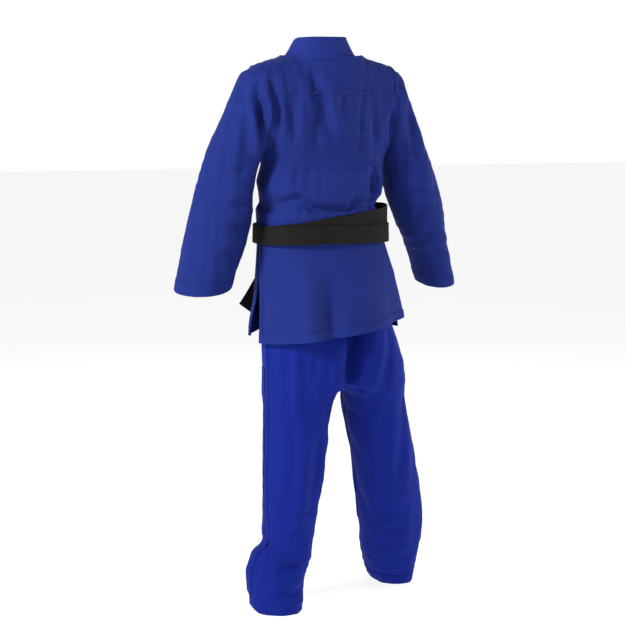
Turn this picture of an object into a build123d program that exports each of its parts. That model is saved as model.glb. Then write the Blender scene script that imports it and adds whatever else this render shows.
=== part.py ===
"""A judo uniform as it hangs on a wearer: jacket, belt and trousers, each made of its sewn pieces.

Millimetres. +Z is up, the uniform's front faces -Y and the wearer's left is +X.
The origin is the centre of the wearer's waist, at the top edge of the trousers' waistband.
"""

import os

from build123d import *

# Cloth thicknesses
JACKET_WALL = 2.5
TROUSER_WALL = 2.0
LAPEL_PROUD = 3.5
PATCH_THICK = 1.5
HEM_THICK = 1.5
SKIRT_LAYER_GAP = 3.0

# Waist, chest and jacket hem: half widths and half depths of the cloth's outside
WAIST_X = 172.0
WAIST_Y = 118.0
CHEST_FLARE = (2.0, 8.0)
HEM_FLARE = (26.0, 30.0)
HEM_CENTRE = (-12.0, 18.0)

# Belt
BELT_WIDTH = 46.0
BELT_THICK = 4.5
BELT_Z = -2.0
BELT_RISE = 24.0
KNOT_WIDTH = 62.0
KNOT_DEPTH = 28.0
KNOT_MARGIN = 5.0
TAIL_LENGTH = 236.0
TAIL_LEAN = 33.0
TAIL_DROP = 33.0
TAIL_SPREAD = 38.0
TAIL_CLEARANCE = 4.0

# Jacket heights
HEM_Z = -255.0
HEM_SLOPE = 0.148
SKIRT_DROP = 6.0
WAIST_SEAM_Z = 175.0
YOKE_Z = 358.0
SHOULDER_Z = 452.0
COLLAR_BASE = 410.0
COLLAR_TOP = 500.0
COLLAR_THICK = 8.0
COLLAR_LOW = (97.0, 90.0)
COLLAR_HIGH = (72.0, 74.0)
COLLAR_BACK = 6.0
LAPEL_WIDTH = 52.0
LAPEL_TOP = (86.0, 462.0)
LAPEL_FOOT_X = -112.0
LAPEL_TAIL_LEAN = 0.2
VENT_GAP = 4.0
EDGE_HEM = 22.0

# Sleeves: cuts along their length
ARMHOLE_REACH = 14.0
GUSSET_DEPTH = 40.0
GUSSET_FOOT = 190.0
GUSSET_HEAD = 262.0
SLEEVE_HEAD_END = 212.0
ELBOW_Z = 64.0
ELBOW_HALF = 46.0
CUFF_Z = -152.0
CUFF_BAND = 28.0

# Trousers: cuts along their length
WAISTBAND_HEIGHT = 45.0
WAIST_CLEARANCE = 11.0
CROTCH_Z = -365.0
HIP_Z = -404.0
HIP_HALF = 50.0
KNEE_Z = -652.0
KNEE_HALF = 52.0
PATCH_FOOT = -800.0
LEG_END = -980.0
LEG_HEM = 30.0
LOOP_HEIGHT = 22.0
LOOP_CENTRE_Z = -16.0
LOOP_WIDTH = 10.0
LOOP_REACH = 5.0
LOOP_SPREAD = 34.0
PATCH_REACH = 10.0
CROTCH_GUSSET = (60.0, 110.0, 50.0)
CROTCH_GUSSET_CENTRE = (-20.0, 12.0)

SEAM_GAP = 0.6
FAR = 700.0

# Places that follow from the sizes above
CHEST_X = WAIST_X + CHEST_FLARE[0]
CHEST_Y = WAIST_Y + CHEST_FLARE[1]
HEM_X = WAIST_X + HEM_FLARE[0]
HEM_Y = WAIST_Y + HEM_FLARE[1]
ARMHOLE_X = WAIST_X + ARMHOLE_REACH
SKIRT_TOP = BELT_Z - BELT_WIDTH / 2 - SKIRT_DROP
TAIL_TOP = BELT_Z - BELT_WIDTH / 2 - TAIL_DROP
LAPEL_FOOT = (LAPEL_FOOT_X, SKIRT_TOP)
SEAT_WAIST_X = WAIST_X - JACKET_WALL - WAIST_CLEARANCE
SEAT_WAIST_Y = WAIST_Y - JACKET_WALL - WAIST_CLEARANCE

# Horizontal sections of the jacket's body: height, half width, half depth
BODY = [
    (SKIRT_TOP - 20, WAIST_X, WAIST_Y),
    (70, WAIST_X, WAIST_Y),
    (130, WAIST_X + 6, CHEST_Y),
    (230, CHEST_X, CHEST_Y + 2),
    (330, CHEST_X - 9, CHEST_Y - 14),
]
# Sections across the shoulders: side, height of the centre, half height, half depth
SHOULDERS = [
    (-ARMHOLE_X - 4, 335, 80, 76),
    (-95, 322, SHOULDER_Z - 322, 104),
    (95, 322, SHOULDER_Z - 322, 104),
    (ARMHOLE_X + 4, 335, 80, 76),
]
# Each sleeve's axis from inside the shoulder to past the cuff: centre, its x counted from the armhole, and
# half width and half depth
SLEEVES = {
    "left": [
        ((-36, 0, 350), 86, 82),
        ((12, -4, 335), 76, 84),
        ((66, -12, 200), 62, 82),
        ((82, -20, 95), 70, 78),
        ((94, -38, -28), 82, 76),
        ((114, -52, -119), 76, 70),
        ((127, -61, -190), 76, 70),
    ],
    "right": [
        ((36, 0, 350), 86, 82),
        ((-12, -2, 335), 72, 84),
        ((-63, 0, 205), 60, 80),
        ((-84, -5, 95), 70, 78),
        ((-122, -13, -28), 62, 80),
        ((-148, -20, -119), 56, 78),
        ((-160, -27, -190), 56, 78),
    ],
}
# Horizontal sections of the skirt below the belt: height, share of the way to the hem's size
SKIRT = [(SKIRT_TOP, 0.0), (-110, 0.52), (HEM_Z - 60, 1.15)]
# Horizontal sections of the seat: height, centre, half width, half depth
SEAT = [
    (0, (0, 0), SEAT_WAIST_X, SEAT_WAIST_Y),
    (-45, (0, 3), SEAT_WAIST_X + 1, SEAT_WAIST_Y + 2),
    (-150, (-6, 12), SEAT_WAIST_X + 12, SEAT_WAIST_Y + 9),
    (-285, (-14, 20), 185, 117),
    (CROTCH_Z, (-22, 14), 185, 112),
]
# Horizontal sections of each leg: height, centre, half width, half depth
LEGS = {
    "left": [
        (-240, (84, 16), 82, 104),
        (CROTCH_Z, (81, 12), 86, 104),
        (-480, (78, 8), 83, 94),
        (-655, (86, 5), 76, 84),
        (-790, (97, 0), 66, 78),
        (-870, (124, 0), 74, 84),
        (-1000, (134, 0), 64, 84),
    ],
    "right": [
        (-240, (-104, 16), 88, 104),
        (CROTCH_Z, (-124, 8), 88, 104),
        (-480, (-162, -10), 84, 94),
        (-655, (-210, -58), 82, 84),
        (-820, (-250, -104), 80, 82),
        (-1000, (-277, -152), 66, 82),
    ],
}

os.makedirs("parts", exist_ok=True)
SIDES = {"left": 1, "right": -1}


def write(part, name):
    """Labels a finished piece and writes its STEP."""
    part.label = name
    export_step(part, f"parts/{name}.step")


def through(sections):
    """A solid through elliptical sections, each a plane with a half width and a half depth."""
    with BuildPart() as solid:
        for plane, half_x, half_y in sections:
            with BuildSketch(plane):
                Ellipse(half_x, half_y)
        loft(ruled=True)
    return solid.part


def level(z, centre=(0, 0)):
    """A horizontal plane at a height, about a centre."""
    return Plane(origin=(centre[0], centre[1], z))


def sleeve_stations(side):
    """A sleeve's stations, their places counted from the middle of the jacket."""
    reach = SIDES[side] * ARMHOLE_X
    return [((x + reach, y, z), half_x, half_y) for (x, y, z), half_x, half_y in SLEEVES[side]]


def across_sleeve(stations, index):
    """The plane across a sleeve at one of its stations, square to the axis."""
    before = Vector(*stations[max(index - 1, 0)][0])
    after = Vector(*stations[min(index + 1, len(stations) - 1)][0])
    along = (after - before).normalized()
    return Plane(origin=stations[index][0], x_dir=(-along.Z, 0, along.X), z_dir=along)


# --- Forms: the space inside each garment, grown outward by a distance ---


def torso_form(grow):
    """The space inside the jacket's body and shoulders."""
    body = through([(level(z), x + grow, y + grow) for z, x, y in BODY])
    bar = [
        (Plane(origin=(x, 0, z), x_dir=(0, 1, 0), z_dir=(1, 0, 0)), half_y + grow, half_z + grow)
        for x, z, half_z, half_y in SHOULDERS
    ]
    return body + through(bar)


def sleeve_form(side, grow):
    """The space inside one sleeve."""
    stations = sleeve_stations(side)
    return through(
        [
            (across_sleeve(stations, index), half_x + grow, half_y + grow)
            for index, (_, half_x, half_y) in enumerate(stations)
        ]
    )


def jacket_form(grow):
    """The space inside the jacket with both sleeves."""
    return torso_form(grow) + sleeve_form("left", grow) + sleeve_form("right", grow)


def skirt_form(grow):
    """The space inside the jacket's skirt, below the belt."""
    sections = []
    for z, share in SKIRT:
        centre = (HEM_CENTRE[0] * share, HEM_CENTRE[1] * share)
        half_x = WAIST_X + (HEM_X - WAIST_X) * share + grow
        half_y = WAIST_Y + (HEM_Y - WAIST_Y) * share + grow
        sections.append((level(z, centre), half_x, half_y))
    return through(sections)


def seat_form(grow):
    """The space inside the trousers' seat, its floor lowered with the walls."""
    return through(
        [
            (level(z - (grow if z == CROTCH_Z else 0), centre), x + grow, y + grow)
            for z, centre, x, y in SEAT
        ]
    )


def leg_form(side, grow):
    """The space inside one trouser leg."""
    return through([(level(z, centre), x + grow, y + grow) for z, centre, x, y in LEGS[side]])


def trouser_form(grow):
    """The space inside the trousers."""
    return seat_form(grow) + leg_form("left", grow) + leg_form("right", grow)


def within(shape, x=(-FAR, FAR), y=(-FAR, FAR), z=(-2 * FAR, FAR)):
    """The part of a shape inside a box."""
    with BuildPart() as piece:
        add(shape)
        with Locations(((x[0] + x[1]) / 2, (y[0] + y[1]) / 2, (z[0] + z[1]) / 2)):
            Box(x[1] - x[0], y[1] - y[0], z[1] - z[0], mode=Mode.INTERSECT)
    return piece.part


def prism(outline, y=(-FAR, FAR)):
    """A prism along Y over an outline in the front view."""
    with BuildPart() as block:
        with BuildSketch(Plane(origin=(0, y[0], 0), x_dir=(1, 0, 0), z_dir=(0, -1, 0))):
            Polygon(*outline, align=None)
        extrude(amount=-(y[1] - y[0]))
    return block.part


def side_span(sign, near, far):
    """The x range from near to far on one side of the middle."""
    return (near, far) if sign > 0 else (-far, -near)


# --- Trousers ---

trouser_outer = trouser_form(0)
trouser_shell = trouser_outer - trouser_form(-TROUSER_WALL)
patch_shell = trouser_form(PATCH_THICK) - trouser_outer
hip_top = HIP_Z + HIP_HALF
hip_foot = HIP_Z - HIP_HALF
knee_top = KNEE_Z + KNEE_HALF
knee_foot = KNEE_Z - KNEE_HALF
middle = HEM_CENTRE[0]

with BuildPart() as waistband:
    add(within(seat_form(0) - seat_form(-TROUSER_WALL - HEM_THICK), z=(-WAISTBAND_HEIGHT, 0)))
write(waistband.part, "waistband")

with BuildPart() as string_loops:
    loop_y = -(SEAT_WAIST_Y + LOOP_REACH / 2) * 0.985
    for x in (-LOOP_SPREAD, LOOP_SPREAD):
        with Locations((x, loop_y, LOOP_CENTRE_Z)):
            Box(LOOP_WIDTH, LOOP_REACH, LOOP_HEIGHT)
            Box(LOOP_WIDTH, LOOP_REACH - 2 * HEM_THICK, LOOP_HEIGHT - 4 * HEM_THICK, mode=Mode.SUBTRACT)
    add(seat_form(0.01), mode=Mode.SUBTRACT)
write(string_loops.part, "string_loops")

gusset_block = Pos(*CROTCH_GUSSET_CENTRE, CROTCH_Z) * Box(*CROTCH_GUSSET)
for side, sign in SIDES.items():
    span = (middle, FAR) if sign > 0 else (-FAR, middle)
    seat = within(trouser_shell, x=span, z=(hip_top, -WAISTBAND_HEIGHT)) - gusset_block
    write(seat, f"{side}_seat")
    hip = within(trouser_shell, x=span, z=(hip_foot + SEAM_GAP / 2, hip_top)) - gusset_block
    write(hip, f"{side}_hip_section")
write(trouser_shell & gusset_block, "crotch_gusset")

for side, sign in SIDES.items():
    tube = leg_form(side, 0) - leg_form(side, -TROUSER_WALL)
    patch = leg_form(side, PATCH_THICK) - leg_form(side, 0)
    knee_y = LEGS[side][3][1][1]
    front = (-FAR, knee_y - PATCH_REACH)
    write(within(tube, z=(knee_top, hip_foot - SEAM_GAP / 2)), f"{side}_thigh")
    write(within(patch, y=front, z=(knee_top, hip_foot - SEAM_GAP / 2)), f"{side}_knee_patch")
    write(within(tube, z=(knee_foot + SEAM_GAP / 2, knee_top)), f"{side}_knee_section")
    write(within(tube, z=(LEG_END + LEG_HEM, knee_foot - SEAM_GAP / 2)), f"{side}_shin")
    shin_front = (-FAR, LEGS[side][-2][1][1] - PATCH_REACH)
    write(within(patch, y=shin_front, z=(PATCH_FOOT, knee_foot - SEAM_GAP / 2)), f"{side}_shin_patch")
    hem = leg_form(side, HEM_THICK) - leg_form(side, -TROUSER_WALL)
    write(within(hem, z=(LEG_END, LEG_END + LEG_HEM)), f"{side}_leg_hem")

# --- Jacket body ---

jacket_inner = jacket_form(-JACKET_WALL)
jacket_shell = jacket_form(0) - jacket_inner
torso_span = (-ARMHOLE_X, ARMHOLE_X)
torso = within(jacket_shell, x=torso_span, z=(SKIRT_TOP + 2, FAR))

collar_planes = (
    (level(COLLAR_BASE, (0, COLLAR_BACK)), COLLAR_LOW),
    (level(COLLAR_TOP, (0, COLLAR_BACK)), COLLAR_HIGH),
)
collar_outer = through([(plane, size[0], size[1]) for plane, size in collar_planes])
collar_inner = through([(plane, size[0] - COLLAR_THICK, size[1] - COLLAR_THICK) for plane, size in collar_planes])

# The lapel lines in the front view, left over right
lapel_run = Vector(*LAPEL_FOOT) - Vector(*LAPEL_TOP)
lapel_side = Vector(-lapel_run.Y, lapel_run.X).normalized() * LAPEL_WIDTH
lapel_ends = (Vector(*LAPEL_TOP) - lapel_run * 0.05, Vector(*LAPEL_FOOT) + lapel_run * 0.05)
far_side = lapel_side.normalized() * (2 * FAR)


def strip(start, end, offset):
    """A four-sided outline from a line to the same line moved by an offset."""
    corners = (start, end, end + offset, start + offset)
    return [(corner.X, corner.Y) for corner in corners]


def mirrored(outline):
    """An outline's mirror image about the middle."""
    return [(-x, z) for x, z in outline]


left_band = strip(*lapel_ends, lapel_side)
left_field = strip(lapel_ends[0] + lapel_side, lapel_ends[1] + lapel_side, far_side)
opening_field = strip(lapel_ends[0], lapel_ends[1], far_side * -1)
front = (-FAR, 0)
band_blocks = {"left": prism(left_band, front), "right": prism(mirrored(left_band), front)}
field_blocks = {"left": prism(left_field, front), "right": prism(mirrored(left_field), front)}
open_blocks = {"left": prism(opening_field, front), "right": prism(mirrored(opening_field), front)}

gussets = {}
for side, sign in SIDES.items():
    span = side_span(sign, WAIST_X * 0.85, ARMHOLE_X)
    depth = (-GUSSET_DEPTH, GUSSET_DEPTH)
    gussets[side] = within(torso, x=span, y=depth, z=(GUSSET_FOOT, GUSSET_HEAD))
    write(gussets[side], f"{side}_armpit_gusset")
panels = torso - gussets["left"] - gussets["right"] - collar_outer

back = (0, FAR)
write(within(panels, y=back, z=(YOKE_Z, FAR)), "back_yoke")
write(within(panels, y=back, z=(WAIST_SEAM_Z, YOKE_Z)), "upper_back")
write(within(panels, y=back, z=(-FAR, WAIST_SEAM_Z)), "lower_back")

belt_top = BELT_Z + BELT_WIDTH / 2 + BELT_RISE * 1.6
proud_shell = within(torso_form(LAPEL_PROUD) - jacket_inner, x=torso_span, z=(belt_top, FAR))
lapel_shell = proud_shell - collar_outer + within(panels, y=front, z=(-FAR, belt_top))
write(within(panels, y=front) & field_blocks["left"], "left_front")
write((within(panels, y=front) & field_blocks["right"]) & open_blocks["left"], "right_front")
write(lapel_shell & band_blocks["left"], "left_lapel")
write((lapel_shell & band_blocks["right"]) & open_blocks["left"], "right_lapel")

with BuildPart() as collar:
    add(collar_outer)
    add(collar_inner, mode=Mode.SUBTRACT)
    with Locations((0, FAR / 2, 0)):
        Box(FAR, FAR, 2 * FAR, mode=Mode.INTERSECT)
    add(jacket_inner, mode=Mode.SUBTRACT)
write(collar.part, "collar")

# --- Sleeves ---

for side, sign in SIDES.items():
    outward = side_span(sign, ARMHOLE_X, FAR)
    sleeve = within(jacket_shell, x=outward)
    elbow_top = ELBOW_Z + ELBOW_HALF
    elbow_foot = ELBOW_Z - ELBOW_HALF
    write(within(sleeve, z=(SLEEVE_HEAD_END + SEAM_GAP / 2, FAR)), f"{side}_sleeve_head")
    write(within(sleeve, z=(elbow_top, SLEEVE_HEAD_END - SEAM_GAP / 2)), f"{side}_upper_sleeve")
    write(within(sleeve, z=(elbow_foot + SEAM_GAP / 2, elbow_top)), f"{side}_elbow_section")
    write(within(sleeve, z=(CUFF_Z + CUFF_BAND, elbow_foot - SEAM_GAP / 2)), f"{side}_forearm")
    cuff = sleeve_form(side, HEM_THICK) - sleeve_form(side, -JACKET_WALL)
    write(within(cuff, z=(CUFF_Z, CUFF_Z + CUFF_BAND)), f"{side}_cuff_hem")

# --- Skirts, cut square to the sloping hem ---

hem_left = (FAR, HEM_Z - HEM_SLOPE * FAR)
hem_right = (-FAR, HEM_Z + HEM_SLOPE * FAR)
above_hem = prism([hem_left, (FAR, FAR), (-FAR, FAR), hem_right])
band_left = (FAR, hem_left[1] + EDGE_HEM)
band_right = (-FAR, hem_right[1] + EDGE_HEM)
above_band = prism([band_left, (FAR, FAR), (-FAR, FAR), band_right])

under_wall = -JACKET_WALL - SKIRT_LAYER_GAP
outer_layer = (skirt_form(0) - skirt_form(-JACKET_WALL)) & above_hem
inner_layer = (skirt_form(under_wall) - skirt_form(under_wall - JACKET_WALL)) & above_hem


def skirt_pieces(layer, name):
    """A skirt panel and its hem."""
    write(layer & above_band, f"{name}")
    write(layer - above_band, f"{name}_hem")


behind = (HEM_CENTRE[1] / 2 + VENT_GAP / 2, FAR)
before = (-FAR, HEM_CENTRE[1] / 2 - VENT_GAP / 2)
skirt_pieces(within(outer_layer, y=behind), "back_skirt")

lapel_x = LAPEL_FOOT[0]
foot_x = lapel_x - LAPEL_TAIL_LEAN * (HEM_Z - SKIRT_TOP)
front_edge = [(lapel_x, SKIRT_TOP), (FAR, SKIRT_TOP), (FAR, -FAR), (foot_x * 1.2, -FAR)]
band_edge = [(lapel_x, SKIRT_TOP), (lapel_x + LAPEL_WIDTH, SKIRT_TOP)]
band_edge += [(foot_x * 1.2 + LAPEL_WIDTH, -FAR), (foot_x * 1.2, -FAR)]
front_panel = prism(front_edge)
front_band = prism(band_edge, front)
left_layer = within(outer_layer, y=before) & front_panel
right_layer = within(inner_layer, y=before) & prism(mirrored(front_edge))
right_band = prism(mirrored(band_edge), front)
skirt_pieces(left_layer - front_band, "left_front_skirt")
write(left_layer & front_band, "left_lapel_tail")
skirt_pieces(right_layer - right_band, "right_front_skirt")
write(right_layer & right_band, "right_lapel_tail")

# --- Belt ---


def wrap(inside, outside, outline):
    """A turn of the belt round the waist, cut to an outline in the front view."""
    with BuildPart() as turn:
        with BuildSketch(Plane.XY.offset(BELT_Z - BELT_WIDTH)):
            Ellipse(WAIST_X + outside, WAIST_Y + outside)
            Ellipse(WAIST_X + inside, WAIST_Y + inside, mode=Mode.SUBTRACT)
        extrude(amount=4 * BELT_WIDTH)
        add(prism(outline), mode=Mode.INTERSECT)
    return turn.part


half_belt = BELT_WIDTH / 2
rise = BELT_RISE / WAIST_X * FAR
rising = [
    (FAR, BELT_Z - half_belt - rise + BELT_RISE),
    (FAR, BELT_Z + half_belt - rise + BELT_RISE),
    (-FAR, BELT_Z + half_belt + rise + BELT_RISE),
    (-FAR, BELT_Z - half_belt + rise + BELT_RISE),
]
flat = [
    (FAR, BELT_Z - half_belt),
    (FAR, BELT_Z + half_belt),
    (-FAR, BELT_Z + half_belt),
    (-FAR, BELT_Z - half_belt),
]
write(wrap(0, BELT_THICK, rising), "belt_inner_wrap")
write(wrap(BELT_THICK, 2 * BELT_THICK, flat), "belt_outer_wrap")

belt_face = -(WAIST_Y + 2 * BELT_THICK)
knot_height = BELT_WIDTH + 2 * KNOT_MARGIN
with BuildPart() as belt_knot:
    with Locations((0, belt_face - KNOT_DEPTH / 2 + BELT_THICK, BELT_Z)):
        Box(KNOT_WIDTH, KNOT_DEPTH + BELT_THICK, knot_height)
    fillet(belt_knot.edges().group_by(Axis.Y)[0], KNOT_DEPTH * 0.35)
    with BuildSketch(Plane.XY.offset(BELT_Z - knot_height)):
        Ellipse(WAIST_X + 2 * BELT_THICK, WAIST_Y + 2 * BELT_THICK)
    extrude(amount=2 * knot_height, mode=Mode.SUBTRACT)
write(belt_knot.part, "belt_knot")

for side, sign in SIDES.items():
    tail_y = -(HEM_Y - HEM_CENTRE[1] + TAIL_CLEARANCE) - BELT_THICK / 2
    with BuildPart() as tail:
        with Locations(Location((sign * TAIL_SPREAD, tail_y, TAIL_TOP), (0, -sign * TAIL_LEAN, 0))):
            Box(BELT_WIDTH, BELT_THICK, TAIL_LENGTH, align=(Align.CENTER, Align.CENTER, Align.MAX))
        split(bisect_by=Plane.XY.offset(TAIL_TOP), keep=Keep.BOTTOM)
    write(tail.part, f"{side}_belt_tail")
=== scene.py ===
import math

import bmesh
import bpy
import numpy as np
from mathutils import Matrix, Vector
from mathutils.bvhtree import BVHTree


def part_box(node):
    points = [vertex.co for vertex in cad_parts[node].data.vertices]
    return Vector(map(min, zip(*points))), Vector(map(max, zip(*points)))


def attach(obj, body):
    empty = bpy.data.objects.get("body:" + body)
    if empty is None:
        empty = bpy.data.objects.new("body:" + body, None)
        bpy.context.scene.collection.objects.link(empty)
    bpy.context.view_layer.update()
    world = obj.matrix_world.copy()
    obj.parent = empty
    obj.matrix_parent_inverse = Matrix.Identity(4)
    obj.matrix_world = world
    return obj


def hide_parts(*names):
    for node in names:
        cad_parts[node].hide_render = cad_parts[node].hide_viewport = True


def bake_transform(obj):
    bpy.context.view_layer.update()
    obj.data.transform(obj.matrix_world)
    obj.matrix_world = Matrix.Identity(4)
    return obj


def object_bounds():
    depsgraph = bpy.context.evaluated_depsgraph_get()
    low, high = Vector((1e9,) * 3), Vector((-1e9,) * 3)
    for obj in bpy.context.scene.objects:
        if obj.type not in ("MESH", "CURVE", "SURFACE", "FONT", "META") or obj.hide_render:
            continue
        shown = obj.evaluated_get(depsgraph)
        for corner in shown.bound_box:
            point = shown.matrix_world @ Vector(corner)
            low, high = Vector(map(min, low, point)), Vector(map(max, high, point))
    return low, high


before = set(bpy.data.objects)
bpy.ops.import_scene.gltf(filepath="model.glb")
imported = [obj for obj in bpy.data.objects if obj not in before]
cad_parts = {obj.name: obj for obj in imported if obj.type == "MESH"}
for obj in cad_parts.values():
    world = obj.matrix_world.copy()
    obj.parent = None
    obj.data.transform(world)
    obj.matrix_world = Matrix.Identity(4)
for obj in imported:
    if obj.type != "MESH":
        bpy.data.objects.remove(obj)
cad_low, cad_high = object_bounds()

# --- Sizes, in metres ---

CLOTH = 0.0028
TROUSER_CLOTH = 0.0022
SIDES = {"left": 1.0, "right": -1.0}

ARMHOLE_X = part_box("upper_back")[1].x
YOKE_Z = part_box("upper_back")[1].z
WAIST_SEAM_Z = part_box("lower_back")[1].z
WAIST_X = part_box("belt_inner_wrap")[1].x - 0.0045
WAIST_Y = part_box("belt_inner_wrap")[1].y - 0.0045
BELT_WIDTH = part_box("belt_outer_wrap")[1].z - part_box("belt_outer_wrap")[0].z
BELT_Z = (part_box("belt_outer_wrap")[1].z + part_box("belt_outer_wrap")[0].z) / 2
BELT_THICK = 0.0042
BELT_RISE = 0.024
SLEEVE_CUT_Z = 0.150
CUFF_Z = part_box("left_cuff_hem")[0].z
CUFF_BAND = 0.028
LEG_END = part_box("left_leg_hem")[0].z
LEG_HEM = 0.030
LEG_CUT_Z = -0.575
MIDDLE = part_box("left_seat")[0].x
SEAT_HALF_X, SEAT_HALF_Y = 0.18, 0.115

# Heights of the bends from one body to the next; they are only carried in the bend tuples below, and no cloth
# is bent over them
HIP_BEND = ((0, 0, -0.354), (0, 0, -0.454))
KNEE_BEND = ((0, 0, -0.600), (0, 0, -0.704))

LAPEL_TOP = Vector((0.086, 0.462))
LAPEL_FOOT = Vector((-0.112, -0.031))
LAPEL_WIDTH = 0.052
HEM_Z = -0.255
HEM_SLOPE = 0.148

# --- Camera, floor and light ---


def look_from(azimuth, height, distance, aim, lens):
    """A camera on a circle round the wearer, aimed at a point."""
    data = bpy.data.cameras.new("camera")
    data.lens = lens
    data.sensor_width = 36
    data.clip_end = 50
    camera = bpy.data.objects.new("camera", data)
    bpy.context.scene.collection.objects.link(camera)
    a = math.radians(azimuth)
    camera.location = Vector((math.sin(a) * distance, -math.cos(a) * distance, height))
    camera.rotation_mode = "QUATERNION"
    camera.rotation_quaternion = (Vector(aim) - camera.location).to_track_quat("-Z", "Y")
    bpy.context.scene.camera = camera
    return camera


look_from(155, 0.325, 4.5, (0.0245, 0.0, -0.212), 99.7)


def make_stage():
    """A pale floor and a plain white world."""
    bpy.ops.mesh.primitive_plane_add(size=60, location=(0, 0, cad_low.z - 0.010))
    floor = bpy.context.object
    floor.name = "floor"
    white = bpy.data.materials.new("floor_white")
    white.use_nodes = True
    shader = white.node_tree.nodes["Principled BSDF"]
    shader.inputs["Base Color"].default_value = (0.30, 0.30, 0.30, 1)
    shader.inputs["Roughness"].default_value = 1.0
    shader.inputs["Specular IOR Level"].default_value = 0.0
    shader.inputs["Emission Color"].default_value = (1, 1, 1, 1)
    shader.inputs["Emission Strength"].default_value = 0.86
    floor.data.materials.append(white)
    world = bpy.data.worlds.new("studio")
    bpy.context.scene.world = world
    world.use_nodes = True
    tree = world.node_tree
    background = tree.nodes["Background"]
    background.inputs["Strength"].default_value = 1.0
    direction = tree.nodes.new("ShaderNodeTexCoord")
    split = tree.nodes.new("ShaderNodeSeparateXYZ")
    rise = tree.nodes.new("ShaderNodeMath")
    rise.operation = "ABSOLUTE"
    ramp = tree.nodes.new("ShaderNodeValToRGB")
    ramp.color_ramp.elements[0].position = 0.18
    ramp.color_ramp.elements[0].color = (1, 1, 1, 1)
    ramp.color_ramp.elements[1].position = 0.50
    ramp.color_ramp.elements[1].color = (0.09, 0.09, 0.10, 1)
    tree.links.new(direction.outputs["Generated"], split.inputs[0])
    tree.links.new(split.outputs["Z"], rise.inputs[0])
    tree.links.new(rise.outputs[0], ramp.inputs[0])
    tree.links.new(ramp.outputs[0], background.inputs["Color"])
    bpy.context.scene.view_settings.view_transform = "Standard"


def area_light(name, place, aim, size, watts):
    data = bpy.data.lights.new(name, "AREA")
    data.size = size
    data.energy = watts
    light = bpy.data.objects.new(name, data)
    light.location = place
    light.rotation_mode = "QUATERNION"
    light.rotation_quaternion = (Vector(aim) - Vector(place)).to_track_quat("-Z", "Y")
    bpy.context.scene.collection.objects.link(light)


make_stage()
area_light("key", (3.3, 0.9, 2.0), (0, 0, 0.1), 0.8, 140)
area_light("side", (-3.4, 0.7, 1.2), (0, 0, 0.0), 1.0, 66)
area_light("front", (-1.0, -3.4, 2.2), (0, 0, 0.1), 1.6, 50)

# --- Materials ---


class Nodes:
    """Short calls for building a node tree."""

    def __init__(self, tree):
        self.tree = tree

    def add(self, kind, **settings):
        node = self.tree.nodes.new(kind)
        for key, value in settings.items():
            setattr(node, key, value)
        return node

    def link(self, source, target):
        self.tree.links.new(source, target)

    def math(self, operation, a, b=None):
        """A math node's output. Inputs are sockets or numbers."""
        node = self.add("ShaderNodeMath", operation=operation)
        for socket, value in zip(node.inputs, (a, b)):
            if value is None:
                continue
            if isinstance(value, (int, float)):
                socket.default_value = value
            else:
                self.link(value, socket)
        return node.outputs[0]

    def noise(self, vector, scale, detail=3.0):
        node = self.add("ShaderNodeTexNoise")
        node.inputs["Scale"].default_value = scale
        node.inputs["Detail"].default_value = detail
        self.link(vector, node.inputs["Vector"])
        return node.outputs["Fac"]


def rice_height(n, u, v):
    """Rows of grains that stand out as level ribs, every other row shifted by half a grain."""
    rib, grain = 0.0050, 0.0062
    row = n.math("DIVIDE", v, rib)
    shift = n.math("MULTIPLY", n.math("MODULO", n.math("FLOOR", row), 2.0), 0.5)
    across = n.math("ADD", n.math("DIVIDE", u, grain), shift)
    grains = n.math("ABSOLUTE", n.math("SINE", n.math("MULTIPLY", across, math.pi)))
    ribs = n.math("ABSOLUTE", n.math("SINE", n.math("MULTIPLY", row, math.pi)))
    return n.math("MULTIPLY", n.math("POWER", grains, 0.5), n.math("POWER", ribs, 0.7))


def diamond_height(n, u, v):
    """A lattice of crossing diagonal grooves round raised diamonds."""
    pitch = 0.0092
    height = None
    for sign in (1.0, -1.0):
        slant = n.math("ADD", u, n.math("MULTIPLY", v, sign * 0.8))
        wave = n.math("ABSOLUTE", n.math("SINE", n.math("MULTIPLY", slant, math.pi / pitch)))
        wave = n.math("POWER", wave, 0.6)
        height = wave if height is None else n.math("MULTIPLY", height, wave)
    return height


def twill_height(n, u, v):
    """Fine diagonal twill lines."""
    slant = n.math("ADD", u, v)
    return n.math("ABSOLUTE", n.math("SINE", n.math("MULTIPLY", slant, math.pi / 0.0016)))


def rib_height(n, u, v):
    """Fine crosswise ribs of a belt's cover."""
    return n.math("ABSOLUTE", n.math("SINE", n.math("MULTIPLY", u, math.pi / 0.0011)))


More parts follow.
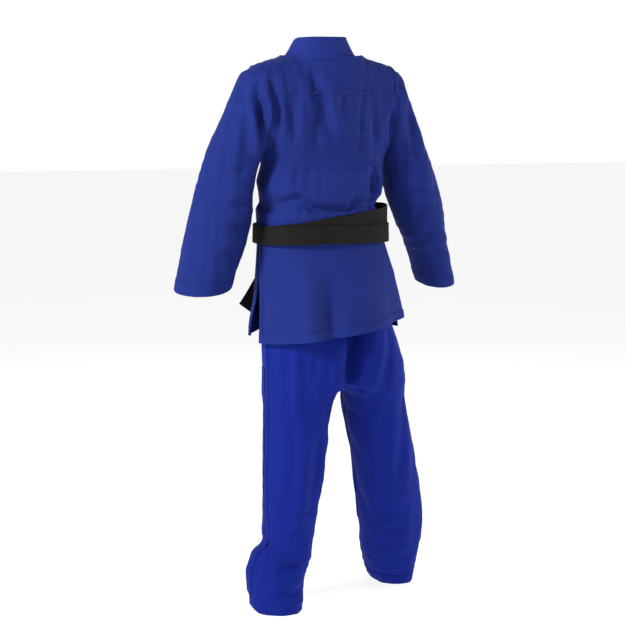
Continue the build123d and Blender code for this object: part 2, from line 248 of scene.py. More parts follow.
def fabric(name, colour, weave, depth, groove_shade_strength, sheen, roughness=0.85, mottle=0.12):
    """Cloth with a woven relief, painted shade that darkens the colour between the threads, and a slightly
    uneven dye.
    """
    material = bpy.data.materials.new(name)
    material.use_nodes = True
    n = Nodes(material.node_tree)
    shader = material.node_tree.nodes["Principled BSDF"]
    uv = n.add("ShaderNodeUVMap", uv_map="cloth").outputs["UV"]
    split = n.add("ShaderNodeSeparateXYZ")
    n.link(uv, split.inputs[0])
    height = weave(n, split.outputs["X"], split.outputs["Y"])
    fuzz = n.noise(uv, 900.0, 2.0)
    cloud = n.noise(uv, 9.0, 4.0)
    dye = n.math("ADD", 1.0 - mottle, n.math("MULTIPLY", cloud, 2 * mottle))
    # Painted shade: the colour is darker where the weave's relief is low, between the threads, and lighter on
    # the raised threads
    painted_groove_shade = n.math("ADD", 1.0 - groove_shade_strength, n.math("MULTIPLY", height, groove_shade_strength * 1.25))
    fibre = n.math("ADD", 0.90, n.math("MULTIPLY", fuzz, 0.2))
    level = n.math("MULTIPLY", n.math("MULTIPLY", dye, painted_groove_shade), fibre)
    tint = n.add("ShaderNodeMix", data_type="RGBA", blend_type="MULTIPLY")
    tint.inputs["Factor"].default_value = 1.0
    tint.inputs["A"].default_value = (*colour, 1)
    n.link(level, tint.inputs["B"])
    n.link(tint.outputs["Result"], shader.inputs["Base Color"])
    rough = n.math("ADD", roughness - 0.05, n.math("MULTIPLY", fuzz, 0.1))
    n.link(rough, shader.inputs["Roughness"])
    shader.inputs["Sheen Weight"].default_value = sheen
    shader.inputs["Sheen Roughness"].default_value = 0.5
    shader.inputs["Sheen Tint"].default_value = (*[min(1.0, 0.25 + c * 2) for c in colour], 1)
    shader.inputs["Specular IOR Level"].default_value = 0.10
    bump = n.add("ShaderNodeBump")
    bump.inputs["Strength"].default_value = 0.6
    bump.inputs["Distance"].default_value = depth
    n.link(n.math("ADD", height, n.math("MULTIPLY", fuzz, 0.25)), bump.inputs["Height"])
    n.link(bump.outputs["Normal"], shader.inputs["Normal"])
    return material


JACKET_BLUE = (0.0141, 0.0282, 0.1996)
TROUSER_BLUE = (0.0055, 0.0174, 0.2352)
BELT_BLACK = (0.013, 0.0125, 0.0115)
COLLAR_BLUE = tuple(c * 1.05 for c in JACKET_BLUE)


CLOTHS = {
    "jacket_rice": fabric("rice_weave", JACKET_BLUE, rice_height, 0.0006, 0.30, 0.02),
    "jacket_diamond": fabric("diamond_weave", JACKET_BLUE, diamond_height, 0.0005, 0.22, 0.02),
    "jacket_hem": fabric("jacket_hem_twill", JACKET_BLUE, twill_height, 0.0002, 0.12, 0.02),
    "collar_cloth": fabric("collar_twill", COLLAR_BLUE, twill_height, 0.0002, 0.12, 0.02),
    "trouser_twill": fabric("trouser_twill", TROUSER_BLUE, twill_height, 0.00018, 0.16, 0.02, 0.8),
    "trouser_hem": fabric("trouser_hem_twill", TROUSER_BLUE, twill_height, 0.0002, 0.12, 0.02, 0.8),
    "knee_patch": fabric("knee_patch_twill", TROUSER_BLUE, twill_height, 0.0002, 0.14, 0.02, 0.8),
    "belt_cloth": fabric("belt_cover", BELT_BLACK, rib_height, 0.0003, 0.30, 0.06, 0.8),
}

# --- Reading the frame ---


def slice_box(names, z):
    """Centre and half sizes of the CAD nodes' outline at a height."""
    points = []
    for name in names:
        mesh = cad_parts[name].data
        co = np.array([v.co for v in mesh.vertices], float)
        edges = np.array([e.vertices for e in mesh.edges])
        a, b = co[edges[:, 0]], co[edges[:, 1]]
        da, db = a[:, 2] - z, b[:, 2] - z
        crossing = da * db < 0
        share = (da[crossing] / (da[crossing] - db[crossing]))[:, None]
        points.append(a[crossing] + share * (b[crossing] - a[crossing]))
    points = np.concatenate(points)
    low, high = points.min(0), points.max(0)
    return (low + high) / 2, (high - low) / 2


# --- Distance fields ---


def smooth_rows(rows, count):
    """Rows of numbers resampled along a Catmull-Rom curve."""
    rows = np.array(rows, float)
    padded = np.vstack([2 * rows[0] - rows[1], rows, 2 * rows[-1] - rows[-2]])
    t = np.linspace(0, len(rows) - 1, count)
    i = np.clip(t.astype(int), 0, len(rows) - 2)
    s = (t - i)[:, None]
    p0, p1, p2, p3 = (padded[i + k] for k in range(4))
    return 0.5 * (
        2 * p1 + (p2 - p0) * s + (2 * p0 - 5 * p1 + 4 * p2 - p3) * s**2 + (3 * p1 - p0 - 3 * p2 + p3) * s**3
    )


def oval_distance(u, v, a, b, power=2.0):
    """Distance to an oval, from the offsets along its axes and its half sizes."""
    u, v = np.abs(u), np.abs(v)
    k = np.maximum(((u / a) ** power + (v / b) ** power) ** (1 / power), 1e-4)
    slope = np.sqrt((u ** (power - 1) / a**power) ** 2 + (v ** (power - 1) / b**power) ** 2)
    slope = slope * k ** (1 - power)
    return (k - 1) / np.maximum(slope, 0.5 / np.maximum(a, b))


def stack_distance(points, rows, power=2.0):
    """Distance to a form of level ovals. Rows hold height, centre x, centre y, half x, half y, rising."""
    fine = smooth_rows(rows, 80)
    order = np.argsort(fine[:, 0])
    z = points[:, 2]
    cx, cy, a, b = (np.interp(z, fine[order, 0], fine[order, k]) for k in range(1, 5))
    return oval_distance(points[:, 0] - cx, points[:, 1] - cy, a, b, power)


def tube_distance(points, rows, count=26, power=2.0):
    """Distance to a tube. Rows hold its axis point, half width across and half depth along Y."""
    fine = smooth_rows(rows, count)
    best = np.full(len(points), 1e3)
    for k in range(count - 1):
        start, run = fine[k, :3], fine[k + 1, :3] - fine[k, :3]
        share = np.clip((points - start) @ run / (run @ run), 0, 1)
        off = points - start - share[:, None] * run
        across = np.array([-run[2], 0, run[0]])
        across /= np.linalg.norm(across)
        deep = np.cross(run / np.linalg.norm(run), across)
        a = fine[k, 3] + share * (fine[k + 1, 3] - fine[k, 3])
        b = fine[k, 4] + share * (fine[k + 1, 4] - fine[k, 4])
        along = np.abs(off @ run) / np.linalg.norm(run)
        best = np.minimum(
            best, np.maximum(oval_distance(off @ across, off @ deep, a, b, power), along - 0.02)
        )
    return best


def smooth_min(a, b, reach):
    """The union of two fields, filleted over a reach."""
    h = np.clip(0.5 + 0.5 * (b - a) / reach, 0, 1)
    return b + (a - b) * h - reach * h * (1 - h)


# --- Meshes from fields ---


def surface_net(distance, low, high, step):
    """Vertices and quads round the zero level of a distance field."""
    axes = [np.arange(lo, hi + step, step) for lo, hi in zip(low, high)]
    grid = np.stack(np.meshgrid(*axes, indexing="ij"), -1)
    shape = grid.shape[:3]
    field = distance(grid.reshape(-1, 3)).reshape(shape)
    inside = field < 0

    def corner(array, i, j, k):
        return array[i : shape[0] - 1 + i, j : shape[1] - 1 + j, k : shape[2] - 1 + k]

    corners = [(i, j, k) for i in (0, 1) for j in (0, 1) for k in (0, 1)]
    count = sum(corner(inside, *c).astype(int) for c in corners)
    active = (count > 0) & (count < 8)
    number = np.full(active.shape, -1)
    number[active] = np.arange(active.sum())
    total = np.zeros((active.sum(), 3))
    crossings = np.zeros(active.sum())
    for axis in range(3):
        for c in corners:
            if c[axis]:
                continue
            d = list(c)
            d[axis] = 1
            f0, f1 = corner(field, *c)[active], corner(field, *d)[active]
            p0, p1 = corner(grid, *c)[active], corner(grid, *d)[active]
            crossing = (f0 < 0) != (f1 < 0)
            share = np.where(crossing, f0 / np.where(crossing, f0 - f1, 1), 0)
            total += np.where(crossing[:, None], p0 + share[:, None] * (p1 - p0), 0)
            crossings += crossing
    vertices = total / crossings[:, None]
    quads = []
    for axis in range(3):
        u, v = (axis + 1) % 3, (axis + 2) % 3
        lower = [slice(1, -1)] * 3
        upper = [slice(1, -1)] * 3
        lower[axis], upper[axis] = slice(0, -1), slice(1, None)
        first, second = inside[tuple(lower)], inside[tuple(upper)]
        at = np.argwhere(first != second)
        base = at + 1
        base[:, axis] = at[:, axis]
        cells = []
        for du, dv in ((-1, -1), (0, -1), (0, 0), (-1, 0)):
            cell = base.copy()
            cell[:, u] += du
            cell[:, v] += dv
            cells.append(number[tuple(cell.T)])
        quad = np.stack(cells, 1)
        outward = first[tuple(at.T)]
        quad[~outward] = quad[~outward][:, ::-1]
        quads.append(quad)
    quads = np.concatenate(quads)
    return vertices, quads[(quads >= 0).all(1)]


def settle(distance, vertices, rounds=3):
    """Vertices moved onto the zero level of the field."""
    tiny = 1e-4
    for _ in range(rounds):
        value = distance(vertices)
        slope = np.stack([(distance(vertices + tiny * np.eye(3)[k]) - value) / tiny for k in range(3)], 1)
        size = np.maximum((slope**2).sum(1), 0.1)
        vertices = vertices - slope * (np.clip(value, -0.003, 0.003) / size)[:, None]
    return vertices


def smooth_step(value, low, high):
    """0 below low, 1 above high and a soft rise between. Low may be the larger."""
    t = np.clip((value - low) / (high - low), 0, 1)
    return t * t * (3 - 2 * t)


def vertex_normals(vertices, faces):
    """Unit normals at the vertices of a mesh of quads."""
    normals = np.zeros_like(vertices)
    for k in range(4):
        a, b, c = faces[:, k], faces[:, (k + 1) % 4], faces[:, k - 1]
        n = np.cross(vertices[b] - vertices[a], vertices[c] - vertices[a])
        np.add.at(normals, a, n)
    return normals / np.maximum(np.linalg.norm(normals, axis=1), 1e-12)[:, None]


# --- The jacket's form ---

# How far the body's cloth hangs aside of its plain form, and how much wider, at each height
BODY_HANG = {0.06: (0.011, -0.010), 0.13: (0.006, -0.005)}


def body_rows():
    rows = []
    for z in (-0.02, 0.06, 0.13, 0.21):
        centre, half = slice_box(("lower_back", "upper_back") if z > 0 else ("lower_back",), z)
        aside, wider = BODY_HANG.get(z, (0.0, 0.0))
        rows.append((z, centre[0] + aside, 0.0, half[0] + wider, half[1] * 2 - 0.001))
    rows.append((0.30, 0.0, 0.0, rows[-1][3] - 0.004, rows[-1][4] - 0.006))
    rows.append((0.36, 0.0, 0.0, rows[-1][3] - 0.020, rows[-1][4] - 0.022))
    return rows


# How far each sleeve's cloth hangs aside of its plain form, and how much wider, at each height
SLEEVE_HANG = {
    "left": {
        0.205: (-0.001, 0.004), 0.12: (0.004, 0.006), 0.06: (0.002, 0.008), -0.03: (0.014, -0.004),
        -0.11: (0.014, -0.006)
    },
    "right": {
        0.205: (0.004, -0.002), 0.12: (-0.004, 0.001), 0.06: (-0.014, -0.004), -0.03: (-0.014, -0.016),
        -0.11: (-0.014, -0.017)
    },
}


def sleeve_rows(side):
    sign = SIDES[side]
    rows = [(0.130 * sign, 0.0, 0.350, 0.078, 0.084), (0.166 * sign, 0.0, 0.342, 0.074, 0.084)]
    rows.append((0.200 * sign, -0.004, 0.312, 0.064, 0.084))
    plan = (("upper_sleeve", 0.205), ("upper_sleeve", 0.12), ("elbow_section", 0.06), ("forearm", -0.03))
    for node, z in (*plan, ("forearm", -0.11)):
        centre, half = slice_box((f"{side}_{node}",), z)
        aside, wider = SLEEVE_HANG[side].get(z, (0.0, 0.0))
        rows.append((centre[0] + aside, centre[1], z, half[0] + wider, half[1]))
    last, before = np.array(rows[-1]), np.array(rows[-2])
    rows.append(last + (last - before) * 0.95)
    return rows


BODY_ROWS = body_rows()
SLEEVE_ROWS = {side: sleeve_rows(side) for side in SIDES}
BAR_ROWS = [
    (-0.19, 0.0, 0.335, 0.066, 0.076),
    (-0.11, 0.0, 0.325, 0.116, 0.102),
    (0.0, 0.0, 0.322, 0.130, 0.112),
    (0.11, 0.0, 0.325, 0.116, 0.102),
    (0.19, 0.0, 0.335, 0.066, 0.076),
]


# Round the neck, up to the collar's seam
NECK_ROWS = [
    (0.340, 0.0, 0.006, 0.168, 0.118),
    (0.390, 0.0, 0.006, 0.140, 0.108),
    (0.430, 0.0, 0.006, 0.108, 0.098),
    (0.475, 0.0, 0.006, 0.092, 0.086),
]


def jacket_distance(points):
    body = stack_distance(points, BODY_ROWS, 2.3)
    body = np.maximum(body, points[:, 2] - 0.40)
    neck = np.maximum(stack_distance(points, NECK_ROWS), np.abs(points[:, 2] - 0.41) - 0.06)
    result = smooth_min(body, tube_distance(points, BAR_ROWS, 20), 0.05)
    result = smooth_min(result, neck, 0.03)
    for side in SIDES:
        sleeve = tube_distance(points, SLEEVE_ROWS[side], 26)
        reach = np.interp(points[:, 2], (0.25, 0.37), (0.006, 0.038))
        result = smooth_min(result, sleeve, reach)
    return result


# --- The trousers' form ---

# How far each leg's cloth hangs aside of its plain form, and how much wider, at each height
LEG_HANG = {
    "left": {
        -0.945: (0.002, 0.0), -0.875: (0.008, 0.002), -0.835: (-0.015, -0.015), -0.80: (-0.006, -0.006),
        -0.56: (-0.003, 0.002), -0.44: (-0.006, 0.002)
    },
    "right": {
        -0.945: (-0.008, -0.012), -0.875: (-0.008, 0.004), -0.80: (-0.016, 0.010), -0.655: (-0.012, 0.009),
        -0.56: (-0.010, 0.005), -0.44: (-0.008, 0.0)
    },
}


def leg_rows(side):
    rows = []
    plan = (
        ("shin", -0.945), ("shin", -0.875), ("shin", -0.835), ("shin", -0.80), ("knee_section", -0.655),
        ("thigh", -0.56), ("hip_section", -0.44),
    )
    for node, z in plan:
        if side == "right" and z == -0.835:
            continue
        centre, half = slice_box((f"{side}_{node}",), z)
        aside, wider = LEG_HANG[side].get(z, (0.0, 0.0))
        rows.append((centre[0] + aside, centre[1], z, half[0] + wider, half[1]))
    first, second = np.array(rows[0]), np.array(rows[1])
    rows.insert(0, tuple(first + (first - second) * 0.9))
    top = np.array(rows[-1])
    sign = SIDES[side]
    rows.append((top[0] * 0.97 + (0.0 if sign > 0 else 0.004), 0.012, -0.36, 0.086, 0.104))
    rows.append((0.084 if sign > 0 else -0.096, 0.018, -0.24, 0.082, 0.100))
    return rows


def seat_rows():
    rows = []
    for z in (-0.34, -0.28, -0.20, -0.12, -0.05):
        centre, half = slice_box(("left_seat", "right_seat"), z)
        narrow = float(np.interp(z, (-0.34, -0.28, -0.20, -0.12), (0.026, 0.016, 0.010, 0.0)))
        rows.append((z, *centre[:2], half[0] - narrow, half[1]))
    centre, half = slice_box(("waistband",), -0.02)
    rows.append((-0.02, *centre[:2], half[0], half[1]))
    rows.append((0.02, *centre[:2], half[0], half[1]))
    return rows


LEG_ROWS = {side: leg_rows(side) for side in SIDES}
SEAT_ROWS = seat_rows()


def trouser_distance(points):
    seat = stack_distance(points, SEAT_ROWS, 2.2)
    seat = np.maximum(seat, -0.392 - points[:, 2])
    left = tube_distance(points, LEG_ROWS["left"], 26)
    right = tube_distance(points, LEG_ROWS["right"], 26)
    return smooth_min(seat, smooth_min(left, right, 0.010), 0.045)


# --- Listed folds ---


def fold_push(points, path, width, depth, lift):
    """How far each point moves out for a fold: a trough along a path, with a soft ridge on each side."""
    fine = smooth_rows(path, 8 * len(path))
    best = np.full(len(points), 1e3)
    where = np.zeros(len(points))
    for k in range(len(fine) - 1):
        start, run = fine[k], fine[k + 1] - fine[k]
        share = np.clip((points - start) @ run / max(run @ run, 1e-12), 0, 1)
        gap = np.linalg.norm(points - start - share[:, None] * run, axis=1)
        closer = gap < best
        best = np.where(closer, gap, best)
        where = np.where(closer, (k + share) / (len(fine) - 1), where)
    ends = np.sin(np.clip(where, 0.02, 0.98) * math.pi) ** 0.6
    trough = -np.exp(-((best / width) ** 2))
    ridge = lift * np.exp(-(((best - 1.9 * width) / width) ** 2))
    return depth * ends * (trough + ridge)


def in_metres(folds):
    """Folds written in millimetres: the points of a path, a width and a depth."""
    return [
        ([tuple(c / 1000 for c in point) for point in path], width / 1000, depth / 1000)
        for path, width, depth in folds
    ]


JACKET_FOLDS = in_metres([
    # Beside the left armhole, from the shoulder down to the waist
    ([(216, 70, 385), (203, 85, 300), (196, 85, 215), (188, 75, 140)], 12, 38),
    ([(178, 85, 400), (166, 95, 320), (160, 95, 240), (150, 90, 180)], 11, 18),
    # Beside the right armhole
    ([(-106, 115, 310), (-112, 110, 230), (-110, 110, 150), (-102, 110, 70)], 15, 34),
    ([(-178, 80, 340), (-172, 85, 260), (-166, 80, 190)], 12, 18),
    # Long soft diagonals across the back
    ([(85, 105, 430), (50, 118, 350), (36, 122, 296), (-8, 125, 232), (-55, 125, 180)], 16, 12),
    ([(135, 105, 350), (120, 115, 270), (95, 120, 200)], 15, 12),
    ([(-50, 122, 330), (-72, 122, 260), (-66, 122, 200)], 14, 10),
    # Blousing over the belt
    ([(120, 100, 80), (40, 120, 74), (-50, 120, 78)], 12, 13),
    ([(-30, 120, 92), (-90, 112, 80), (-140, 85, 85)], 12, 12),
    ([(150, 75, 85), (110, 105, 100), (70, 115, 85)], 11, 7),
    # Across the front of the body
    ([(50, -120, 300), (90, -115, 200), (140, -85, 110)], 15, 6),
    ([(-60, -118, 280), (-110, -105, 180), (-150, -70, 100)], 15, 6),
    ([(60, -120, 80), (110, -100, 60), (150, -60, 75)], 11, 5),
    ([(-30, -122, 70), (-90, -110, 55), (-140, -70, 70)], 11, 5),
    # Left sleeve: from the shoulder, and across the elbow and forearm
    ([(235, 70, 330), (240, 70, 240), (262, 60, 160)], 14, 6),
    ([(205, 75, 215), (240, 70, 180), (290, 50, 170)], 12, 6),
    ([(205, 55, 120), (240, 60, 95), (295, 50, 85)], 13, 7),
    ([(200, 30, 60), (250, 45, 35), (320, 20, 40)], 13, 7),
    ([(225, 30, -20), (280, 35, -40), (340, 0, -25)], 14, 6),
    ([(330, -80, 120), (300, -100, 70), (240, -95, 50)], 13, 8),
    ([(345, -70, 30), (300, -115, 10), (240, -100, 0)], 13, 6),
    # Right sleeve
    ([(-215, 75, 330), (-235, 78, 250), (-262, 70, 180)], 14, 6),
    ([(-200, 75, 230), (-250, 78, 210), (-300, 60, 220)], 12, 5),
    ([(-205, 45, 28), (-250, 68, 48), (-312, 50, 78)], 11, 14),
    ([(-215, 55, 120), (-260, 75, 105), (-325, 50, 125)], 12, 8),
    ([(-235, 45, -30), (-285, 60, -10), (-345, 40, 10)], 13, 9),
    ([(-270, 60, -30), (-320, 65, -45), (-370, 30, -30)], 13, 6),
    ([(-350, -60, 110), (-310, -90, 60), (-250, -85, 45)], 13, 8),
    ([(-370, -60, 10), (-330, -95, -20), (-280, -90, -10)], 13, 6),
])
TROUSER_FOLDS = in_metres([
    # Down from the seat into the gap between the legs
    ([(-48, 130, -200), (-44, 128, -290), (-30, 105, -395)], 26, 50),
    ([(10, 125, -230), (12, 115, -330), (20, 95, -450)], 12, 8),
    ([(-104, 120, -230), (-90, 115, -330), (-62, 90, -430)], 14, 14),
    ([(74, 125, -215), (71, 122, -290), (70, 118, -360)], 9, 10),
    ([(-150, 105, -240), (-135, 105, -340), (-110, 85, -440)], 15, 6),
    ([(80, 120, -240), (90, 110, -350), (95, 100, -520)], 18, 5),
    # Long soft folds down the legs
    ([(40, 95, -480), (50, 90, -620), (70, 80, -760)], 18, 6),
    ([(120, 80, -420), (115, 85, -560), (125, 70, -700)], 16, 4),
    ([(-190, 70, -420), (-205, 40, -560), (-225, 10, -690)], 18, 5),
    ([(-130, 80, -500), (-165, 40, -620), (-200, -10, -760)], 16, 5),
    # Creases across the backs of the knees and above the hems
    ([(30, 60, -700), (80, 82, -708), (140, 60, -695)], 11, 5),
    ([(50, 60, -770), (100, 80, -780), (155, 50, -765)], 12, 6),
    ([(60, 60, -865), (120, 85, -855), (180, 60, -875)], 13, 10),
    ([(65, 60, -915), (125, 85, -925), (185, 50, -910)], 12, 8),
    ([(-290, -40, -800), (-245, -20, -810), (-195, -60, -795)], 12, 5),
    ([(-310, -100, -880), (-265, -50, -890), (-210, -100, -870)], 13, 7),
    ([(-150, 10, -690), (-200, 30, -700), (-270, 0, -690)], 12, 4),
    # Fronts of the legs
    ([(50, -90, -620), (90, -85, -640), (140, -60, -630)], 13, 6),
    ([(-160, -120, -620), (-220, -140, -640), (-270, -110, -630)], 13, 6),
    ([(70, -85, -860), (120, -90, -880), (170, -70, -865)], 13, 8),
    ([(-220, -190, -860), (-265, -205, -880), (-310, -180, -865)], 13, 7),
    ([(60, -95, -380), (75, -95, -480), (85, -90, -580)], 18, 6),
    ([(-130, -95, -380), (-160, -105, -480), (-195, -125, -580)], 18, 6),
    ([(20, -110, -280), (30, -105, -350), (10, -80, -410)], 14, 10),
])


def ripple(points, sizes, seed):
    """Smooth unevenness, as a sum of waves in random directions. Sizes are wave lengths along X, Y and Z."""
    rng = np.random.default_rng(seed)
    total = np.zeros(len(points))
    for _ in range(10):
        direction = rng.normal(size=3) * 2 * math.pi / np.array(sizes)
        total += np.sin(points @ direction + rng.uniform(0, 2 * math.pi))
    return total / 5


# Folds no deeper than this are made deeper by the gain, and each fold's ridges are this share of its depth
SHALLOW_FOLD = 0.012
SHALLOW_GAIN = 1.45
FOLD_RIDGE = 0.35


def with_folds(vertices, faces, folds, seed):
    """A form's vertices pushed in and out along its normals by its folds and a soft unevenness."""
    normals = vertex_normals(vertices, faces)
    coarse = ripple(vertices, (0.10, 0.10, 0.30), seed)
    fine = ripple(vertices, (0.05, 0.05, 0.12), seed + 1)
    push = 0.0016 * coarse + 0.0010 * fine
    for path, width, depth in folds:
        deeper = 1.0 if depth > SHALLOW_FOLD else SHALLOW_GAIN
        push += fold_push(vertices, path, width, depth * deeper, FOLD_RIDGE)
    return vertices + normals * push[:, None]


def mesh_object(name, vertices, faces):
    mesh = bpy.data.meshes.new(name)
    mesh.from_pydata(vertices.tolist(), [], faces.tolist())
    mesh.update()
    thing = bpy.data.objects.new(name, mesh)
    bpy.context.scene.collection.objects.link(thing)
    return thing


def evaluated(thing):
    """Vertices and faces of an object with its modifiers."""
    mesh = thing.evaluated_get(bpy.context.evaluated_depsgraph_get()).to_mesh()
    vertices = np.array([v.co for v in mesh.vertices], float)
    faces = np.array([p.vertices[:] for p in mesh.polygons])
    return vertices, faces


# The farthest that the simulation may move a point
DRAPE_CAP = 0.012


def drape(name, vertices, faces, hold, frames=22, slack=0.042):
    """A cloth simulation on a form. The cloth is cut larger by slack, and each vertex is held to the form by
    hold, 0 to 1, so it buckles into small natural wrinkles between the firm places."""
    thing = mesh_object(name, vertices, faces)
    group = thing.vertex_groups.new(name="hold")
    for index, weight in enumerate(hold):
        group.add([index], float(weight), "REPLACE")
    modifier = thing.modifiers.new("cloth", "CLOTH")
    settings = modifier.settings
    settings.quality = 5
    settings.mass = 0.15
    settings.tension_stiffness = 18
    settings.compression_stiffness = 18
    settings.shear_stiffness = 6
    settings.bending_stiffness = 1.2
    settings.tension_damping = 8
    settings.compression_damping = 8
    settings.shear_damping = 8
    settings.bending_damping = 1
    settings.air_damping = 3
    settings.vertex_group_mass = "hold"
    settings.pin_stiffness = 0.9
    settings.shrink_min = -slack
    settings.shrink_max = -slack
    modifier.collision_settings.use_collision = False
    modifier.collision_settings.use_self_collision = False
    modifier.point_cache.frame_start = 1
    modifier.point_cache.frame_end = frames
    scene = bpy.context.scene
    scene.frame_start = 1
    scene.frame_end = frames
    for step in range(1, frames + 1):
        scene.frame_set(step)
    draped, _ = evaluated(thing)
    bpy.data.objects.remove(thing)
    scene.frame_set(1)
    move = draped - vertices
    size = np.linalg.norm(move, axis=1)
    return vertices + move * np.minimum(1, DRAPE_CAP / np.maximum(size, 1e-9))[:, None]


def refine(vertices, faces):
    """One level of smooth subdivision."""
    thing = mesh_object("refine", vertices, faces)
    modifier = thing.modifiers.new("smooth", "SUBSURF")
    modifier.levels = 1
    fine = evaluated(thing)
    bpy.data.objects.remove(thing)
    return fine

# --- Pieces of cloth: vertices, faces, outward normals and flat cloth coordinates ---


class Piece:
    """One layer of cloth before it is given its thickness."""

    def __init__(self, co, faces, no, uv):
        self.co, self.faces, self.no, self.uv = co, faces, no, uv

    def only(self, wanted):
        """The faces whose centres pass a test of x, y and z."""
        faces = self.faces
        if isinstance(faces, np.ndarray):
            centre = self.co[faces].mean(1)
            kept = faces[wanted(centre[:, 0], centre[:, 1], centre[:, 2])].tolist()
        else:
            centre = np.array([self.co[list(f)].mean(0) for f in faces])
            pick = wanted(centre[:, 0], centre[:, 1], centre[:, 2])
            kept = [f for f, keep in zip(faces, pick) if keep]
        used = sorted({i for f in kept for i in f})
        number = {old: new for new, old in enumerate(used)}
        kept = [tuple(number[i] for i in f) for f in kept]
        return Piece(self.co[used], kept, self.no[used], self.uv[used])

    def trim(self, *planes):
        """What is left in front of planes, each a point and a direction."""
        bm = bmesh.new()
        layers = [bm.verts.layers.float_vector.new(name) for name in ("normal", "cloth")]
        made = []
        for co, no, uv in zip(self.co, self.no, self.uv):
            vertex = bm.verts.new(co)
            vertex[layers[0]] = no
            vertex[layers[1]] = (uv[0], uv[1], 0)
            made.append(vertex)
        for face in self.faces:
            bm.faces.new([made[i] for i in face])
        for point, direction in planes:
            geometry = bm.verts[:] + bm.edges[:] + bm.faces[:]
            bmesh.ops.bisect_plane(
                bm, geom=geometry, plane_co=point, plane_no=direction, clear_inner=True, dist=1e-6
            )
        bm.verts.index_update()
        co = np.array([v.co for v in bm.verts]).reshape(-1, 3)
        no = np.array([v[layers[0]] for v in bm.verts]).reshape(-1, 3)
        uv = np.array([v[layers[1]][:2] for v in bm.verts]).reshape(-1, 2)
        faces = [tuple(v.index for v in f.verts) for f in bm.faces]
        bm.free()
        return Piece(co, faces, no / np.maximum(np.linalg.norm(no, axis=1), 1e-9)[:, None], uv)

    def lifted(self, height):
        return Piece(self.co + self.no * height, self.faces, self.no, self.uv)

    def area(self):
        total = 0.0
        for f in self.faces:
            for k in range(1, len(f) - 1):
                a, b, c = (self.co[i] for i in (f[0], f[k], f[k + 1]))
                total += np.linalg.norm(np.cross(b - a, c - a)) / 2
        return total


# The least share of its flat rectangle that a sheet is taken to fill. It caps the declared width of the two
# fronts, whose cloth coordinates wrap at the front's middle, so their width isn't a measured one.
LEAST_FILL = 0.35


def sewn(name, piece, thickness, material, wrap=None, sheet=None):
    """A closed object from a layer of cloth, with its inner face and its edges."""
    count = len(piece.co)
    inner = piece.co - piece.no * thickness
    edges = {(f[k - 1], f[k]) for f in piece.faces for k in range(len(f))}
    rims = [(b, a, a + count, b + count) for a, b in edges if (b, a) not in edges]
    faces = list(piece.faces) + [tuple(i + count for i in reversed(f)) for f in piece.faces] + sorted(rims)
    mesh = bpy.data.meshes.new(name)
    mesh.from_pydata(np.vstack([piece.co, inner]).tolist(), [], faces)
    mesh.update()
    mesh.polygons.foreach_set("use_smooth", np.ones(len(mesh.polygons), bool))
    corners = np.zeros(len(mesh.loops), int)
    mesh.loops.foreach_get("vertex_index", corners)
    uv = np.vstack([piece.uv, piece.uv])[corners]
    if wrap:
        starts = np.zeros(len(mesh.polygons), int)
        mesh.polygons.foreach_get("loop_start", starts)
        highest = np.maximum.reduceat(uv[:, 0], starts)
        sizes = np.diff(np.append(starts, len(uv)))
        jump = np.repeat(highest, sizes) - uv[:, 0] > wrap / 2
        uv[:, 0] += jump * wrap
    layer = mesh.uv_layers.new(name="cloth")
    layer.data.foreach_set("uv", uv.astype(np.float32).ravel())
    mesh.normals_split_custom_set_from_vertices(np.vstack([piece.no, -piece.no]).tolist())
    mesh.materials.append(material)
    thing = bpy.data.objects.new(name, mesh)
    bpy.context.scene.collection.objects.link(thing)
    if sheet:
        area = piece.area()
        span = piece.uv.max(0) - piece.uv.min(0)
        width = max(span[0], area / span[1]) + 0.001
        width = min(width, area / span[1] / LEAST_FILL)
    return thing


def grid_piece(points, relief=None, ring=False, flip=False, uv=None):
    """A piece from a grid of points. Relief lifts each grid point along the normal. A ring joins the last
    column to the first."""
    points = np.array(points, float)
    across, down = points.shape[:2]
    if ring:
        du = np.roll(points, -1, 0) - np.roll(points, 1, 0)
    else:
        du = np.gradient(points, axis=0)
    dv = np.gradient(points, axis=1)
    normals = np.cross(du, dv)
    normals /= np.maximum(np.linalg.norm(normals, axis=2), 1e-12)[:, :, None]
    if flip:
        normals = -normals
    if relief is not None:
        points = points + normals * relief[:, :, None]
    if uv is None:
        u = np.concatenate([[0], np.cumsum(np.linalg.norm(np.diff(points, axis=0), axis=2).mean(1))])
        v = np.concatenate([[0], np.cumsum(np.linalg.norm(np.diff(points, axis=1), axis=2).mean(0))])
        uv = np.stack(np.meshgrid(u, v, indexing="ij"), -1)
    faces = []
    for i in range(across if ring else across - 1):
        n = (i + 1) % across
        for j in range(down - 1):
            quad = (i * down + j, n * down + j, n * down + j + 1, i * down + j + 1)
            faces.append(quad[::-1] if flip else quad)
    return Piece(points.reshape(-1, 3), faces, normals.reshape(-1, 3), uv.reshape(-1, 2))


def ring_length(points):
    """The length round a ring of grid points, at its first row."""
    row = np.array(points, float)[:, 0]
    return float(np.linalg.norm(np.roll(row, -1, 0) - row, axis=1).sum())


def rows_of_stitches(across, down, rows, height, edge=0.08):
    """Relief of parallel stitched channels along a band, over a grid of across by down points."""
    v = np.linspace(0, 1, down)
    channel = np.abs(np.sin(np.clip((v - edge) / (1 - 2 * edge), 0, 1) * math.pi * rows)) ** 0.6
    channel = np.where((v < edge) | (v > 1 - edge), 0.6, channel)
    return np.repeat(height * channel[None, :], across, 0)


def surface_tree(vertices, faces):
    return BVHTree.FromPolygons([Vector(v) for v in vertices], faces.tolist())


